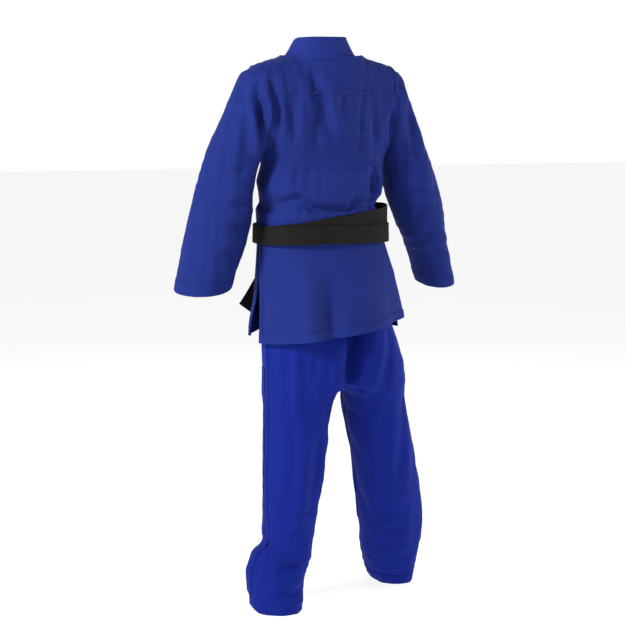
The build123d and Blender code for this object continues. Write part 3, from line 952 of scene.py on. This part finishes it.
def on_surface(tree, path, spacing=0.006):
    """A path laid on a surface: evenly spaced points and the surface's normals there."""
    fine = smooth_rows(path, 40 * len(path))
    steps = np.concatenate([[0], np.cumsum(np.linalg.norm(np.diff(fine, axis=0), axis=1))])
    count = max(4, int(steps[-1] / spacing))
    at = np.linspace(0, steps[-1], count)
    fine = np.stack([np.interp(at, steps, fine[:, k]) for k in range(3)], 1)
    found = [tree.find_nearest(Vector(p)) for p in fine]
    return np.array([f[0] for f in found]), np.array([f[1] for f in found])


def seam(name, tree, path, material, width=0.006, height=0.0009):
    """A felled seam on a surface: a low tape with two stitched channels, a little puckered."""
    points, normals = on_surface(tree, path)
    along = np.gradient(points, axis=0)
    along /= np.maximum(np.linalg.norm(along, axis=1), 1e-9)[:, None]
    side = np.cross(normals, along)
    profile = [
        (-0.5, -0.2), (-0.42, 0.8), (-0.30, 0.35), (-0.18, 0.9), (0, 1), (0.18, 0.9), (0.30, 0.35),
        (0.42, 0.8), (0.5, -0.2)
    ]
    pucker = 1 + 0.25 * np.sin(np.arange(len(points)) * 1.9)
    grid = np.stack(
        [points + side * (a * width) + normals * (b * height * pucker)[:, None] for a, b in profile], 1
    )
    piece = grid_piece(grid, flip=True)
    return sewn(name, piece, 0.0012, material)


def radial_ring(tree, centre, z_low, z_high, rows, count=160, lift=0.0, tilt=(0.0, 0.0)):
    """A ring of grid points where level rays from a centre leave a surface, from the lower height up. Tilt is
    how much lower it hangs toward +X and +Y."""
    grid = np.zeros((count, rows, 3))
    for i in range(count):
        a = 2 * math.pi * i / count
        direction = Vector((math.cos(a), math.sin(a), 0))
        for j, z in enumerate(np.linspace(z_low, z_high, rows)):
            start = Vector((centre[0], centre[1], z))
            reach = tree.ray_cast(start, direction)[3] or 0.07
            for _ in range(2):
                start.z = z - (tilt[0] * direction.x + tilt[1] * direction.y) * reach
                reach = tree.ray_cast(start, direction)[3] or reach
            grid[i, j] = start + direction * (reach + lift)
    return grid


# --- Cloth coordinates ---

ANGLES = np.linspace(-math.pi, math.pi, 721)


def oval_arc(angle, a, b):
    """Distance round an oval from its back to an angle."""
    speed = np.sqrt((a * np.cos(ANGLES)) ** 2 + (b * np.sin(ANGLES)) ** 2)
    length = np.concatenate([[0], np.cumsum((speed[1:] + speed[:-1]) / 2 * np.diff(ANGLES))])
    return np.interp(angle, ANGLES, length - length[360])


def torso_cloth(points):
    """Round the body from the middle of its back, and up it, with the shoulders' slope added at the top."""
    x, y, z = points.T
    round_body = oval_arc(np.arctan2(x / WAIST_X, y / WAIST_Y), WAIST_X, WAIST_Y)
    flat_angle = np.arcsin(np.clip(x / 0.205, -1, 1))
    top = oval_arc(np.where(y > 0, flat_angle, np.sign(x) * math.pi - flat_angle), 0.20, 0.12)
    share = smooth_step(z, 0.33, 0.40)
    u = round_body * (1 - share) + top * share
    v = z + 0.7 * smooth_step(z, 0.33, 0.42) * np.maximum(0, 0.11 - np.abs(y))
    return np.stack([u, v], 1)


TORSO_WRAP = float(oval_arc(math.pi, WAIST_X, WAIST_Y) - oval_arc(-math.pi, WAIST_X, WAIST_Y))
TUBE_RADIUS = 0.080
TUBE_WRAP = 2 * math.pi * TUBE_RADIUS


def tube_cloth(points, rows):
    """Round a tube from the side that faces the body, and along its axis."""
    axis = smooth_rows(rows, 60)[:, :3]
    steps = np.concatenate([[0], np.cumsum(np.linalg.norm(np.diff(axis, axis=0), axis=1))])
    order = np.argsort(axis[:, 2])
    z = points[:, 2]
    along = np.interp(z, axis[order, 2], steps[order])
    cx, cy = (np.interp(z, axis[order, 2], axis[order, k]) for k in (0, 1))
    sign = np.sign(axis[:, 0].mean())
    angle = np.arctan2((points[:, 1] - cy), (points[:, 0] - cx) * sign)
    past_top = np.maximum(0, z - axis[:, 2].max())
    return np.stack([angle * TUBE_RADIUS, past_top - along], 1)


def seat_cloth(points):
    """Round the seat from its back, and its height. The front's middle is where it wraps."""
    x, y, z = points.T
    angle = np.arctan2((x - MIDDLE) / SEAT_HALF_X, y / SEAT_HALF_Y)
    return np.stack([oval_arc(angle, SEAT_HALF_X, SEAT_HALF_Y), z], 1)


# --- The two garments' surfaces ---

COARSE = 0.0095


def garment(name, distance, low, high, folds, seed, firm):
    """A garment's surface: form, folds, drape and subdivision. Gives its vertices, faces and plain form."""
    base, faces = surface_net(distance, low, high, COARSE)
    base = settle(distance, base)
    folded = with_folds(base, faces, folds, seed)
    folded = drape(name, folded, faces, firm(base))
    fine, fine_faces = refine(folded, faces)
    fine_base, _ = refine(base, faces)
    return fine, fine_faces, fine_base


def jacket_firm(points):
    """Firm under the belt, round the neck and at the cuffs, and soft elsewhere."""
    x, z = np.abs(points[:, 0]), points[:, 2]
    belt = smooth_step(z, 0.075, 0.035) * (x < 0.19)
    neck = smooth_step(z, 0.36, 0.43)
    cuff = 0.12 * smooth_step(z, CUFF_Z + 0.06, CUFF_Z + 0.01) * (x > 0.19)
    soft = 0.10 + 0.08 * smooth_step(z, 0.20, 0.36)
    return np.clip(np.maximum.reduce([belt, neck, cuff, soft]), 0, 1)


def trouser_firm(points):
    """Firm under the waistband and a little at the hems, and soft elsewhere."""
    z = points[:, 2]
    waist = smooth_step(z, -0.10, -0.05)
    hem = 0.14 * smooth_step(z, LEG_END + 0.06, LEG_END + 0.01)
    return np.clip(np.maximum.reduce([waist, hem, 0.10 + 0 * z]), 0, 1)


jacket, jacket_faces, jacket_base = garment(
    "jacket_cloth", jacket_distance, (-0.42, -0.16, CUFF_Z - 0.035), (0.41, 0.16, 0.48), JACKET_FOLDS, 3,
    jacket_firm
)
trousers, trouser_faces, trouser_base = garment(
    "trouser_cloth", trouser_distance, (-0.36, -0.25, LEG_END - 0.035), (0.22, 0.16, 0.02), TROUSER_FOLDS,
    5, trouser_firm
)

# --- Jacket pieces ---

jacket_tree = surface_tree(jacket, jacket_faces)
jacket_normals = vertex_normals(jacket, jacket_faces)
whole_torso = Piece(jacket, jacket_faces, jacket_normals, torso_cloth(jacket_base))
RICE, DIAMOND = CLOTHS["jacket_rice"], CLOTHS["jacket_diamond"]
NECK_X, NECK_Y = 0.088, 0.084


def in_body(x, y, z):
    """Between the armholes, and outside the neck's hole."""
    hole = (x / NECK_X) ** 2 + ((y - 0.006) / NECK_Y) ** 2 < 1
    return (np.abs(x) < ARMHOLE_X + 0.02) & ~(hole & (z > 0.38)) & (z < 0.452)


torso = whole_torso.only(in_body)
EAST, WEST = ((ARMHOLE_X, 0, 0), (-1, 0, 0)), ((-ARMHOLE_X, 0, 0), (1, 0, 0))
BACK, FRONT = ((0, 0, 0), (0, 1, 0)), ((0, 0, 0), (0, -1, 0))
BODY_FOOT = -0.020


def above(z):
    """The plane that keeps what is above a height."""
    return ((0, 0, z), (0, 0, 1))


def below(z):
    """The plane that keeps what is below a height."""
    return ((0, 0, z), (0, 0, -1))


def band(piece, low, high, *planes):
    """The slice of a piece between two heights, cut by more planes."""
    near = piece.only(lambda x, y, z: (z > low - 0.02) & (z < high + 0.02))
    return near.trim(above(low), below(high), *planes)


# Above the whole jacket
TOP = 0.6
for name, low, high, cloth in (
    ("back_yoke", YOKE_Z, TOP, "jacket_rice"),
    ("upper_back", WAIST_SEAM_Z, YOKE_Z, "jacket_rice"),
    ("lower_back", BODY_FOOT, WAIST_SEAM_Z, "jacket_diamond"),
):
    half = torso.only(lambda x, y, z: y > -0.02)
    panel = sewn(
        name + "_cloth", band(half, low, high, EAST, WEST, BACK), CLOTH, CLOTHS[cloth],
        TORSO_WRAP, "stretched"
    )
    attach(panel, "jacket")
    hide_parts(name)

# The lapel lines in the front view, left over right
lapel_run = (LAPEL_FOOT - LAPEL_TOP).normalized()
lapel_side = Vector((-lapel_run.y, lapel_run.x))
LINE_IN = 0.018
fronts = torso.only(lambda x, y, z: y < 0.02)
left_edge = LAPEL_TOP + lapel_side * LINE_IN
right_edge = Vector((-left_edge.x, left_edge.y))
left_cut = ((left_edge.x, 0, left_edge.y), (lapel_side.x, 0, lapel_side.y))
right_cut = ((right_edge.x, 0, right_edge.y), (-lapel_side.x, 0, lapel_side.y))
under_cut = ((left_edge.x + 0.012, 0, left_edge.y), (-lapel_side.x, 0, -lapel_side.y))
for side, cuts in (("left", (left_cut,)), ("right", (right_cut, under_cut))):
    piece = fronts.only(lambda x, y, z: z < TOP).trim(EAST, WEST, FRONT, above(BODY_FOOT), *cuts)
    panel = sewn(
        f"{side}_front_cloth", piece, CLOTH, RICE, TORSO_WRAP, "stretched"
    )
    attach(panel, "jacket")
    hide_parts(f"{side}_front", f"{side}_armpit_gusset")

CUFF_TILT = {"left": (0.093, 0.20), "right": (0.22, 0.20)}
HEM_RAISE = 0.012
for side, sign in SIDES.items():
    whole = Piece(jacket, jacket_faces, jacket_normals, tube_cloth(jacket_base, SLEEVE_ROWS[side]))
    arm = whole.only(lambda x, y, z: x * sign > ARMHOLE_X - 0.02)
    outward = ((ARMHOLE_X * sign, 0, 0), (sign, 0, 0))
    upper = sewn(
        f"{side}_upper_sleeve_cloth", band(arm, SLEEVE_CUT_Z, TOP, outward), CLOTH, RICE,
        TUBE_WRAP, "stretched"
    )
    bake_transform(upper)
    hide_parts(f"{side}_sleeve_head", f"{side}_upper_sleeve")
    axis = smooth_rows(SLEEVE_ROWS[side], 60)
    near_cuff = axis[np.argmin(np.abs(axis[:, 2] - CUFF_Z - CUFF_BAND / 2))]
    foot_cut = ((near_cuff[0], near_cuff[1], CUFF_Z + HEM_RAISE + 0.001), (*CUFF_TILT[side], 1))
    lower = sewn(
        f"{side}_lower_sleeve_cloth", band(
            arm, CUFF_Z - 0.02, SLEEVE_CUT_Z, outward, foot_cut
        ), CLOTH, RICE, TUBE_WRAP, "stretched"
    )
    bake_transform(lower)
    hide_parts(f"{side}_elbow_section", f"{side}_forearm")
    ring_foot = CUFF_Z + HEM_RAISE
    ring = radial_ring(
        jacket_tree, near_cuff, ring_foot, ring_foot + CUFF_BAND, 22, lift=0.0007, tilt=CUFF_TILT[side]
    )
    relief = rows_of_stitches(len(ring), 22, 5, 0.0007)
    cuff = sewn(
        f"{side}_cuff_band", grid_piece(ring, relief, ring=True), 0.0042, CLOTHS["jacket_hem"],
        ring_length(ring)
    )
    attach(cuff, f"{side}_forearm")
    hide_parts(f"{side}_cuff_hem")

# --- Jacket seams ---


def back_y(x):
    """How far back the body reaches at a place across it."""
    return WAIST_Y * math.sqrt(max(0.0, 1 - (x / (ARMHOLE_X + 0.004)) ** 2))


def level_seam(name, z, material, west, east):
    path = [(x, back_y(x) + 0.01, z) for x in np.linspace(west, east, 15)]
    thing = seam(name, jacket_tree, path, material)
    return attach(thing, "jacket")


level_seam("yoke_seam", YOKE_Z, CLOTHS["jacket_hem"], -ARMHOLE_X + 0.012, ARMHOLE_X - 0.012)
level_seam(
    "mid_back_seam", WAIST_SEAM_Z, CLOTHS["jacket_hem"], -ARMHOLE_X + 0.040,
    ARMHOLE_X - 0.024
)
for side, sign in SIDES.items():
    x = ARMHOLE_X * sign
    for place, facing in (("back", 1), ("front", -1)):
        path = [
            (x, 0.02 * facing, 0.43), (x, 0.075 * facing, 0.40), (x, 0.10 * facing, 0.33),
            (x, 0.09 * facing, 0.27)
        ]
        thing = seam(
            f"{side}_armhole_seam_{place}", jacket_tree, path, CLOTHS["jacket_hem"], 0.009
        )
        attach(thing, "jacket")

# --- Collar and lapels ---

COLLAR_BACK_PLAN = [
    ((0.0, 0.097, 0.440), (0.0, 0.076, 0.496)),
    ((0.066, 0.071, 0.440), (0.050, 0.056, 0.496)),
    ((0.094, 0.004, 0.439), (0.060, 0.004, 0.491)),
    ((0.099, -0.050, 0.423), (0.058, -0.046, 0.464)),
]
# The standing collar leans to the wearer's left, less and less toward the front
COLLAR_LEAN = [(0.007, 0.013), (0.007, 0.013), (0.006, 0.011), (0.002, 0.004)]
CHEST_HEIGHTS = (0.400, 0.360, 0.320, 0.270, 0.220, 0.170, 0.120, 0.070, 0.030, 0.000)


def chest_point(place, lift):
    """A point on the chest at a place in the front view, a little proud of the jacket."""
    hit, normal = jacket_tree.ray_cast(Vector((place.x, -0.4, place.y)), Vector((0, 1, 0)))[:2]
    if hit is None:
        return np.array((place.x, -0.10 - lift, place.y))
    return np.array(hit) + np.array(normal) * lift


def lapel_rows(side, lift, foot):
    """Seam and free edge of the band at stations from the neck's back down the chest, on one side."""
    sign = SIDES[side]
    rows = []
    for (s, f), (seam_lean, free_lean) in zip(COLLAR_BACK_PLAN, COLLAR_LEAN):
        rows.append(
            (np.array(s) * (sign, 1, 1) + (seam_lean, 0, 0), np.array(f) * (sign, 1, 1) + (free_lean, 0, 0))
        )
    for z in CHEST_HEIGHTS:
        if z < foot:
            continue
        free = LAPEL_TOP + (LAPEL_FOOT - LAPEL_TOP) * ((LAPEL_TOP.y - z) / (LAPEL_TOP.y - LAPEL_FOOT.y))
        seam_edge = free + lapel_side * LAPEL_WIDTH
        flat = [Vector((p.x * sign, p.y)) for p in (seam_edge, free)]
        tucked = lift - 0.011 * float(smooth_step(z, 0.085, 0.045))
        rows.append(tuple(chest_point(p, tucked) for p in flat))
    return rows


def band_grid(rows, across, down, bulge):
    """A grid across a ruled band between its two edges, bulged outward between them."""
    seams = smooth_rows([r[0] for r in rows], across)
    frees = smooth_rows([r[1] for r in rows], across)
    share = np.linspace(0, 1, down)[None, :, None]
    grid = seams[:, None] * (1 - share) + frees[:, None] * share
    du = np.gradient(grid, axis=0)
    dv = np.gradient(grid, axis=1)
    out = np.cross(du, dv)
    out /= np.maximum(np.linalg.norm(out, axis=2), 1e-12)[:, :, None]
    return grid, out, np.sin(share * math.pi) * bulge


COLLAR_ROWS = 7
COLLAR_THICK = 0.0065
right_half = lapel_rows("right", 0.0045, 0.15)
left_half = lapel_rows("left", 0.0085, -0.01)
NECK_STATIONS = len(COLLAR_BACK_PLAN)
neck = right_half[NECK_STATIONS - 1 : 0 : -1] + left_half[:NECK_STATIONS]
for name, rows, across in (
    ("collar", neck, 150), (
        "left_lapel", left_half[NECK_STATIONS - 1 :], 230
    ), ("right_lapel", right_half[NECK_STATIONS - 1 :], 170)
):
    grid, out, bulge = band_grid(rows, across, 57, 0.0015)
    outward = 1 if name != "right_lapel" else -1
    grid = grid + out * bulge * outward
    relief = rows_of_stitches(across, 57, COLLAR_ROWS, 0.0016, 0.05)
    piece = grid_piece(grid, relief, flip=name == "right_lapel")
    if name == "right_lapel":
        piece = piece.trim(((left_edge.x + 0.020, 0, left_edge.y), (-lapel_side.x, 0, -lapel_side.y)))
    thing = sewn(
        name + "_band", piece, COLLAR_THICK, CLOTHS["collar_cloth"], None, "stretched",
    )
    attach(thing, "jacket")
    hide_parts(name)

# --- Skirts ---

SKIRT_TOP_Z = 0.016
SKIRT_FLARE = ((-0.315, 1.15), (-0.110, 0.52), (-0.031, 0.0), (0.02, 0.0))
# Angle from the back, spread, and how far the cloth stands out at the hem
BACK_FLARES = [
    (-1.50, 0.34, 0.016), (-0.85, 0.26, -0.010), (-0.30, 0.30, 0.009), (0.25, 0.13, -0.014),
    (0.52, 0.14, 0.013), (1.05, 0.25, -0.006), (1.42, 0.22, -0.008)
]
LEFT_FLARES = [
    (1.62, 0.28, 0.019), (2.15, 0.22, -0.006), (2.60, 0.2, 0.007), (3.1, 0.22, -0.005), (3.6, 0.2, 0.006)
]
RIGHT_FLARES = [(-1.66, 0.25, 0.014), (-2.15, 0.22, -0.006), (-2.65, 0.2, 0.006), (-3.2, 0.25, -0.004)]


def hem_height(x, drop):
    """The sloping hem's height at a place across the body."""
    return HEM_Z - HEM_SLOPE * x - drop


def skirt_grid(start, end, across, down, flares, inset, drop, near=0.0, far=1.0, lean=0.0, gather=1.3):
    """A grid over a skirt panel: angles from start to end, and shares of the way down from near to far."""
    angle = np.linspace(start, end, across)[:, None]
    share = np.linspace(near, far, down)[None, :]
    x = WAIST_X * np.sin(angle)
    hem = hem_height(x, drop)
    z = SKIRT_TOP_Z + (hem - SKIRT_TOP_Z) * share
    heights, shares = zip(*SKIRT_FLARE)
    flare = np.interp(z, heights, shares)
    angle = angle + lean * share**1.5 * (angle - start) / (end - start)
    half_x = WAIST_X + 0.026 * flare - inset
    half_y = WAIST_Y + 0.030 * flare - inset
    below_belt = smooth_step(z, -0.01, -0.24)
    push = 0.0015 * np.sin(angle * 9 + z * 20) * below_belt
    for at, spread, depth in flares:
        push = push + depth * np.exp(-(((angle - at) / spread) ** 2)) * below_belt**gather
    px = (half_x + push) * np.sin(angle) - 0.012 * flare
    py = (half_y + push) * np.cos(angle) + 0.018 * flare
    return np.stack(np.broadcast_arrays(px, py, z), -1)


def skirt(name, start, end, flares, inset, drop, lean=0.0, gather=1.3):
    """A skirt panel with its stitched hem along the foot and up its side edge."""
    length = SKIRT_TOP_Z - HEM_Z
    band_share = 1 - 0.022 / length
    grid = skirt_grid(start, end, 190, 54, flares, inset, drop, 0.0, 1.0, lean, gather)
    piece = grid_piece(grid, flip=end > start)
    made = sewn(f"{name}_cloth", piece, CLOTH, DIAMOND, None, "hung")
    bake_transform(made)
    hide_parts(name)
    foot = skirt_grid(
        start, end, 220, 16, flares, inset - 0.0008, drop + 0.0006, band_share, 1.0, lean, gather
    )
    relief = 0.0007 * (1 - np.exp(-(((np.linspace(0, 1, 16) - 0.16) / 0.07) ** 2)))
    relief = np.repeat(relief[None, :], 220, 0) + 0.0002 * np.sin(np.arange(220) * 1.3)[:, None]
    hem = sewn(
        f"{name}_hem_band", grid_piece(foot, relief, flip=end > start), 0.0044, CLOTHS["jacket_hem"],
    )
    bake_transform(hem)
    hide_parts(f"{name}_hem")
    edge_angle = 0.012 / WAIST_Y
    for label, first in (("start", start), ("end", end)):
        inward = edge_angle if first == start else -edge_angle
        inward *= 1 if end > start else -1
        if lean and first == end:
            continue
        near_edge, far_edge = sorted((first, first + inward))
        side_edge = skirt_grid(
            near_edge, far_edge, 8, 60, flares, inset - 0.0006, drop, 0.12, band_share, 0.0, gather
        )
        strip_piece = grid_piece(side_edge, flip=True)
        thing = sewn(f"{name}_{label}_edge", strip_piece, 0.0038, CLOTHS["jacket_hem"])
        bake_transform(thing)
    return made


LAYER = 0.0062
VENT = 0.012
# How much lower than the back's hem each front panel hangs, and how late the fronts' flares begin
FRONT_DROP = {"left": -0.020, "right": 0.028}
FRONT_GATHER = 4.0
skirt("back_skirt", -math.pi / 2 + VENT, math.pi / 2 - VENT, BACK_FLARES, 0.0, 0.0)
LEFT_END = math.pi + math.asin(-LAPEL_FOOT.x / WAIST_X)
skirt(
    "left_front_skirt", math.pi / 2 + VENT, LEFT_END, LEFT_FLARES, 0.0,
    FRONT_DROP["left"], -0.20, FRONT_GATHER
)
skirt(
    "right_front_skirt", -math.pi / 2 - VENT, -LEFT_END, RIGHT_FLARES, LAYER,
    FRONT_DROP["right"], 0.20, FRONT_GATHER
)

# The lapel bands go on down the skirts' front edges
for side, parent, inset, flares, lean in (
    (
        "left", "right_front_skirt", -0.0045, LEFT_FLARES, -0.20
    ), ("right", "jacket", LAYER - 0.0045, RIGHT_FLARES, 0.20)
):
    sign = SIDES[side]
    edge = sign * LEFT_END
    inner_edge = edge - sign * LAPEL_WIDTH / (WAIST_Y + 0.02)
    grid = skirt_grid(edge, inner_edge, 40, 150, flares, inset, FRONT_DROP[side], gather=FRONT_GATHER)
    start_lean = skirt_grid(
        sign * math.pi / 2, edge, 190, 150, flares, inset, FRONT_DROP[side], 0.0, 1.0, lean, FRONT_GATHER
    )
    shift = start_lean[-1] - grid[0]
    grid = grid + shift[None, :, :] * np.linspace(1, 0.85, 40)[:, None, None]
    relief = rows_of_stitches(150, 40, COLLAR_ROWS, 0.0009, 0.05).T
    piece = grid_piece(grid, relief, flip=side == "right")
    thing = sewn(f"{side}_lapel_tail_band", piece, 0.004, CLOTHS["collar_cloth"])
    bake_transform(thing)
    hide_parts(f"{side}_lapel_tail")

# --- Belt ---

BELT_ROWS = 10


def oval_point(angle, offset, power=2.3):
    """A point round the jacket at the belt, at an angle from the back."""
    a, b = WAIST_X + offset, WAIST_Y + offset
    s, c = np.sin(angle), np.cos(angle)
    reach = (np.abs(s / a) ** power + np.abs(c / b) ** power) ** (-1 / power)
    return reach * s, reach * c


def belt_turn(name, offset, rise, tilt_out):
    """A turn of the belt. Rise lifts its right side."""
    across, down = 320, 61
    angle = np.linspace(0, 2 * math.pi, across, endpoint=False)[:, None]
    share = np.linspace(-0.5, 0.5, down)[None, :]
    wobble = 0.0012 * np.sin(3 * angle + 1.0) + 0.0006 * np.sin(7 * angle)
    x, y = oval_point(angle, offset + 0.0008 * np.sin(5 * angle + rise * 60) + tilt_out * share)
    z = BELT_Z + rise * (1 - x / WAIST_X) + share * BELT_WIDTH + wobble
    grid = np.stack(np.broadcast_arrays(x, y, z), -1)
    relief = rows_of_stitches(across, down, BELT_ROWS, 0.0005, 0.03)
    piece = grid_piece(grid, relief, ring=True, flip=True)
    thing = sewn(name, piece, BELT_THICK - 0.0006, CLOTHS["belt_cloth"], ring_length(grid))
    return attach(thing, "jacket")


inner_turn = belt_turn("inner_belt_turn", BELT_THICK + 0.0004, BELT_RISE, 0.0)
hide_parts("belt_inner_wrap")
outer_turn = belt_turn("outer_belt_turn", 2 * BELT_THICK + 0.0012, 0.0, -0.001)
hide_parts("belt_outer_wrap")


def strap(name, path, widths, outs, rows, thickness=0.0046, relief_height=0.0005):
    """A flat stitched strap along a path. Outs are the directions it faces at the path's points."""
    count = 26 * (len(path) - 1)
    line = smooth_rows(path, count)
    out = smooth_rows(outs, count)
    wide = smooth_rows([(w, 0) for w in widths], count)[:, 0]
    along = np.gradient(line, axis=0)
    along /= np.linalg.norm(along, axis=1)[:, None]
    side = np.cross(along, out)
    side /= np.linalg.norm(side, axis=1)[:, None]
    down = 45
    share = np.linspace(-0.5, 0.5, down)
    face = np.cross(side, along)
    crown = (0.25 - share**2) * 0.004
    grid = line[:, None] + side[:, None] * (share[None, :] * wide[:, None])[:, :, None]
    grid = grid + face[:, None] * crown[None, :, None]
    relief = rows_of_stitches(count, down, rows, relief_height, 0.03)
    piece = grid_piece(grid, relief, flip=True)
    middle = len(piece.no) // 2
    if np.dot(piece.no[middle], face[count // 2]) < 0:
        piece = grid_piece(grid, relief, flip=False)
    return sewn(name, piece, thickness, CLOTHS["belt_cloth"])


# The square knot: a turn down over both wraps, and the two ends drawn out across it
FACE_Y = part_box("belt_outer_wrap")[0].y
KNOT_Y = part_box("belt_knot")[0].y
knot_over = strap(
    "knot_over",
    [
        (0.004, FACE_Y + 0.010, 0.027),
        (0.004, FACE_Y - 0.008, 0.029),
        (0.002, KNOT_Y + 0.004, 0.015),
        (0.0, KNOT_Y + 0.002, -0.004),
        (-0.002, KNOT_Y + 0.006, -0.022),
        (-0.004, FACE_Y - 0.006, -0.033),
        (-0.004, FACE_Y + 0.008, -0.031),
    ],
    [0.036, 0.036, 0.034, 0.032, 0.034, 0.036, 0.036],
    [(0, -0.3, 1), (0, -0.8, 0.8), (0, -1, 0.4), (0, -1, 0), (0, -1, -0.4), (0, -0.8, -0.8), (0, -0.3, -1)],
    8,
)
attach(knot_over, "jacket")
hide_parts("belt_knot")
TAIL_LEAN = math.radians(37)
TAIL_LENGTH = 0.212
for side, sign in SIDES.items():
    side_loop = strap(
        f"knot_{side}_loop",
        [
            (0.005 * sign, KNOT_Y + 0.012, 0.012),
            (0.018 * sign, KNOT_Y + 0.008, 0.002),
            (0.029 * sign, KNOT_Y + 0.012, -0.012),
            (0.032 * sign, KNOT_Y + 0.017, -0.028),
            (0.036 * sign, FACE_Y - 0.006, -0.042),
        ],
        [0.026, 0.030, 0.034, 0.038, 0.042],
        [(0, -1, 0.2), (0.3 * sign, -1, 0.1), (0.5 * sign, -1, 0), (0.3 * sign, -1, 0), (0.1 * sign, -1, 0)],
        8,
    )
    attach(side_loop, "jacket")
    tail_low, tail_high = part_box(f"{side}_belt_tail")
    y = (tail_low.y + tail_high.y) / 2
    lean = TAIL_LEAN * sign
    top = Vector((0.034 * sign, y + 0.004, -0.040))
    path, outs = [], []
    for k in range(7):
        share = k / 6
        reach = TAIL_LENGTH * share
        path.append((
            top.x + math.sin(lean) * reach + 0.004 * math.sin(share * 5) * sign,
            y - 0.003 * math.sin(share * 4), top.z - math.cos(lean) * reach
        ))
        outs.append((0.10 * math.sin(share * 4 + sign), -1, 0))
    tail = strap(f"{side}_tail_strap", path, [0.042] + [BELT_WIDTH - 0.001] * 6, outs, BELT_ROWS)
    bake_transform(tail)
    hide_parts(f"{side}_belt_tail")

# --- Trouser pieces ---

trouser_tree = surface_tree(trousers, trouser_faces)
trouser_normals = vertex_normals(trousers, trouser_faces)
SEAT_FOOT = -0.345
SEAT_TOP = -0.004
LEG_TILT = (0.08, 0.18)
LEG_RAISE = 0.002
TWILL = CLOTHS["trouser_twill"]


def axis_at(axis, z):
    """Centre x and y and half width of a leg at a height, from its rows, which rise."""
    return [float(np.interp(z, axis[:, 2], axis[:, k])) for k in (0, 1, 3)]


seat_whole = Piece(trousers, trouser_faces, trouser_normals, seat_cloth(trouser_base))
for side, sign in SIDES.items():
    inward = ((MIDDLE, 0, 0), (sign, 0, 0))
    near = seat_whole.only(lambda x, y, z: (x - MIDDLE) * sign > -0.02)
    seat = sewn(
        f"{side}_seat_cloth", band(near, SEAT_FOOT, SEAT_TOP, inward), TROUSER_CLOTH, TWILL,
        None, "hung"
    )
    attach(seat, "trousers")
    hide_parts(f"{side}_seat", *(["crotch_gusset"] if side == "left" else []))
    whole = Piece(trousers, trouser_faces, trouser_normals, tube_cloth(trouser_base, LEG_ROWS[side]))
    leg = whole.only(lambda x, y, z: (x - MIDDLE) * sign > -0.02)
    thigh = sewn(
        f"{side}_thigh_cloth", band(leg, LEG_CUT_Z, SEAT_FOOT, inward), TROUSER_CLOTH, TWILL,
        TUBE_WRAP, "hung"
    )
    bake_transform(thigh)
    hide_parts(f"{side}_hip_section", f"{side}_thigh")
    axis = smooth_rows(LEG_ROWS[side], 60)
    near_hem = axis[np.argmin(np.abs(axis[:, 2] - LEG_END - LEG_HEM / 2))]
    foot_cut = ((near_hem[0], near_hem[1], LEG_END + LEG_RAISE + 0.001), (*LEG_TILT, 1))
    shin = sewn(
        f"{side}_shin_cloth", band(leg, LEG_END - 0.02, LEG_CUT_Z, inward, foot_cut), TROUSER_CLOTH, TWILL,
        TUBE_WRAP, "hung"
    )
    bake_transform(shin)
    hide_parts(f"{side}_knee_section", f"{side}_shin")
    ring_foot = LEG_END + LEG_RAISE
    ring = radial_ring(trouser_tree, near_hem, ring_foot, ring_foot + LEG_HEM, 18, lift=0.0007, tilt=LEG_TILT)
    relief = np.repeat(
        (0.0006 * (1 - np.exp(-(((np.linspace(0, 1, 18) - 0.85) / 0.06) ** 2))))[None, :], len(ring), 0
    )
    hem = sewn(
        f"{side}_leg_hem_band", grid_piece(ring, relief, ring=True), 0.0034, CLOTHS["trouser_hem"],
        ring_length(ring)
    )
    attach(hem, f"{side}_shin")
    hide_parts(f"{side}_leg_hem")

    hip_bend = ("trousers", f"{side}_thigh", *HIP_BEND)
    knee_bend = (f"{side}_thigh", f"{side}_shin", *KNEE_BEND)
    for part, low, high, bend in (
        ("thigh_patch", LEG_CUT_Z, -0.352, hip_bend),
        ("shin_patch", -0.800, LEG_CUT_Z, knee_bend),
    ):
        middle = (low + high) / 2
        cx, cy = axis_at(axis, middle)[:2]
        slope = (axis_at(axis, high)[1] - axis_at(axis, low)[1]) / (high - low)
        plane = ((cx, cy - 0.012, middle), (0, -1, slope))
        layer = band(leg, low, high, inward, plane).lifted(0.0016)
        patch = sewn(
            f"{side}_{part}_cloth", layer, 0.0013, CLOTHS["knee_patch"], TUBE_WRAP,
            "stretched"
        )
        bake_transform(patch)
        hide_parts(f"{side}_knee_patch" if part == "thigh_patch" else f"{side}_shin_patch")
    # The side seam, from the hip to the hem
    seat_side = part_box(f"{side}_seat")[1 if sign > 0 else 0].x
    for part, low, high, bend in (
        ("hip_seam", SEAT_FOOT, -0.06, None),
        ("thigh_seam", LEG_CUT_Z, SEAT_FOOT, hip_bend),
        ("shin_seam", LEG_END + LEG_HEM, LEG_CUT_Z, knee_bend),
    ):
        path = []
        for z in np.linspace(low, high, 6):
            cx, cy, rx = axis_at(axis, z)
            reach = cx + sign * (rx + 0.02) if z < SEAT_FOOT + 0.01 else seat_side
            path.append((reach, cy + 0.012, z))
        thing = seam(
            f"{side}_{part}", trouser_tree, path, CLOTHS["trouser_hem"], 0.008, 0.0010
        )
        if bend:
            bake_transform(thing)
        else:
            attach(thing, "trousers")

waist_ring = radial_ring(trouser_tree, (0, 0.002), -0.045, -0.002, 12, lift=0.0005)
waistband = sewn(
    "waistband_cloth", grid_piece(waist_ring, ring=True), 0.0040, CLOTHS["trouser_hem"],
    ring_length(waist_ring), "stretched"
)
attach(waistband, "trousers")
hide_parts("waistband")
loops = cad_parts["string_loops"]
loops.data.materials.clear()
loops.data.materials.append(CLOTHS["trouser_hem"])
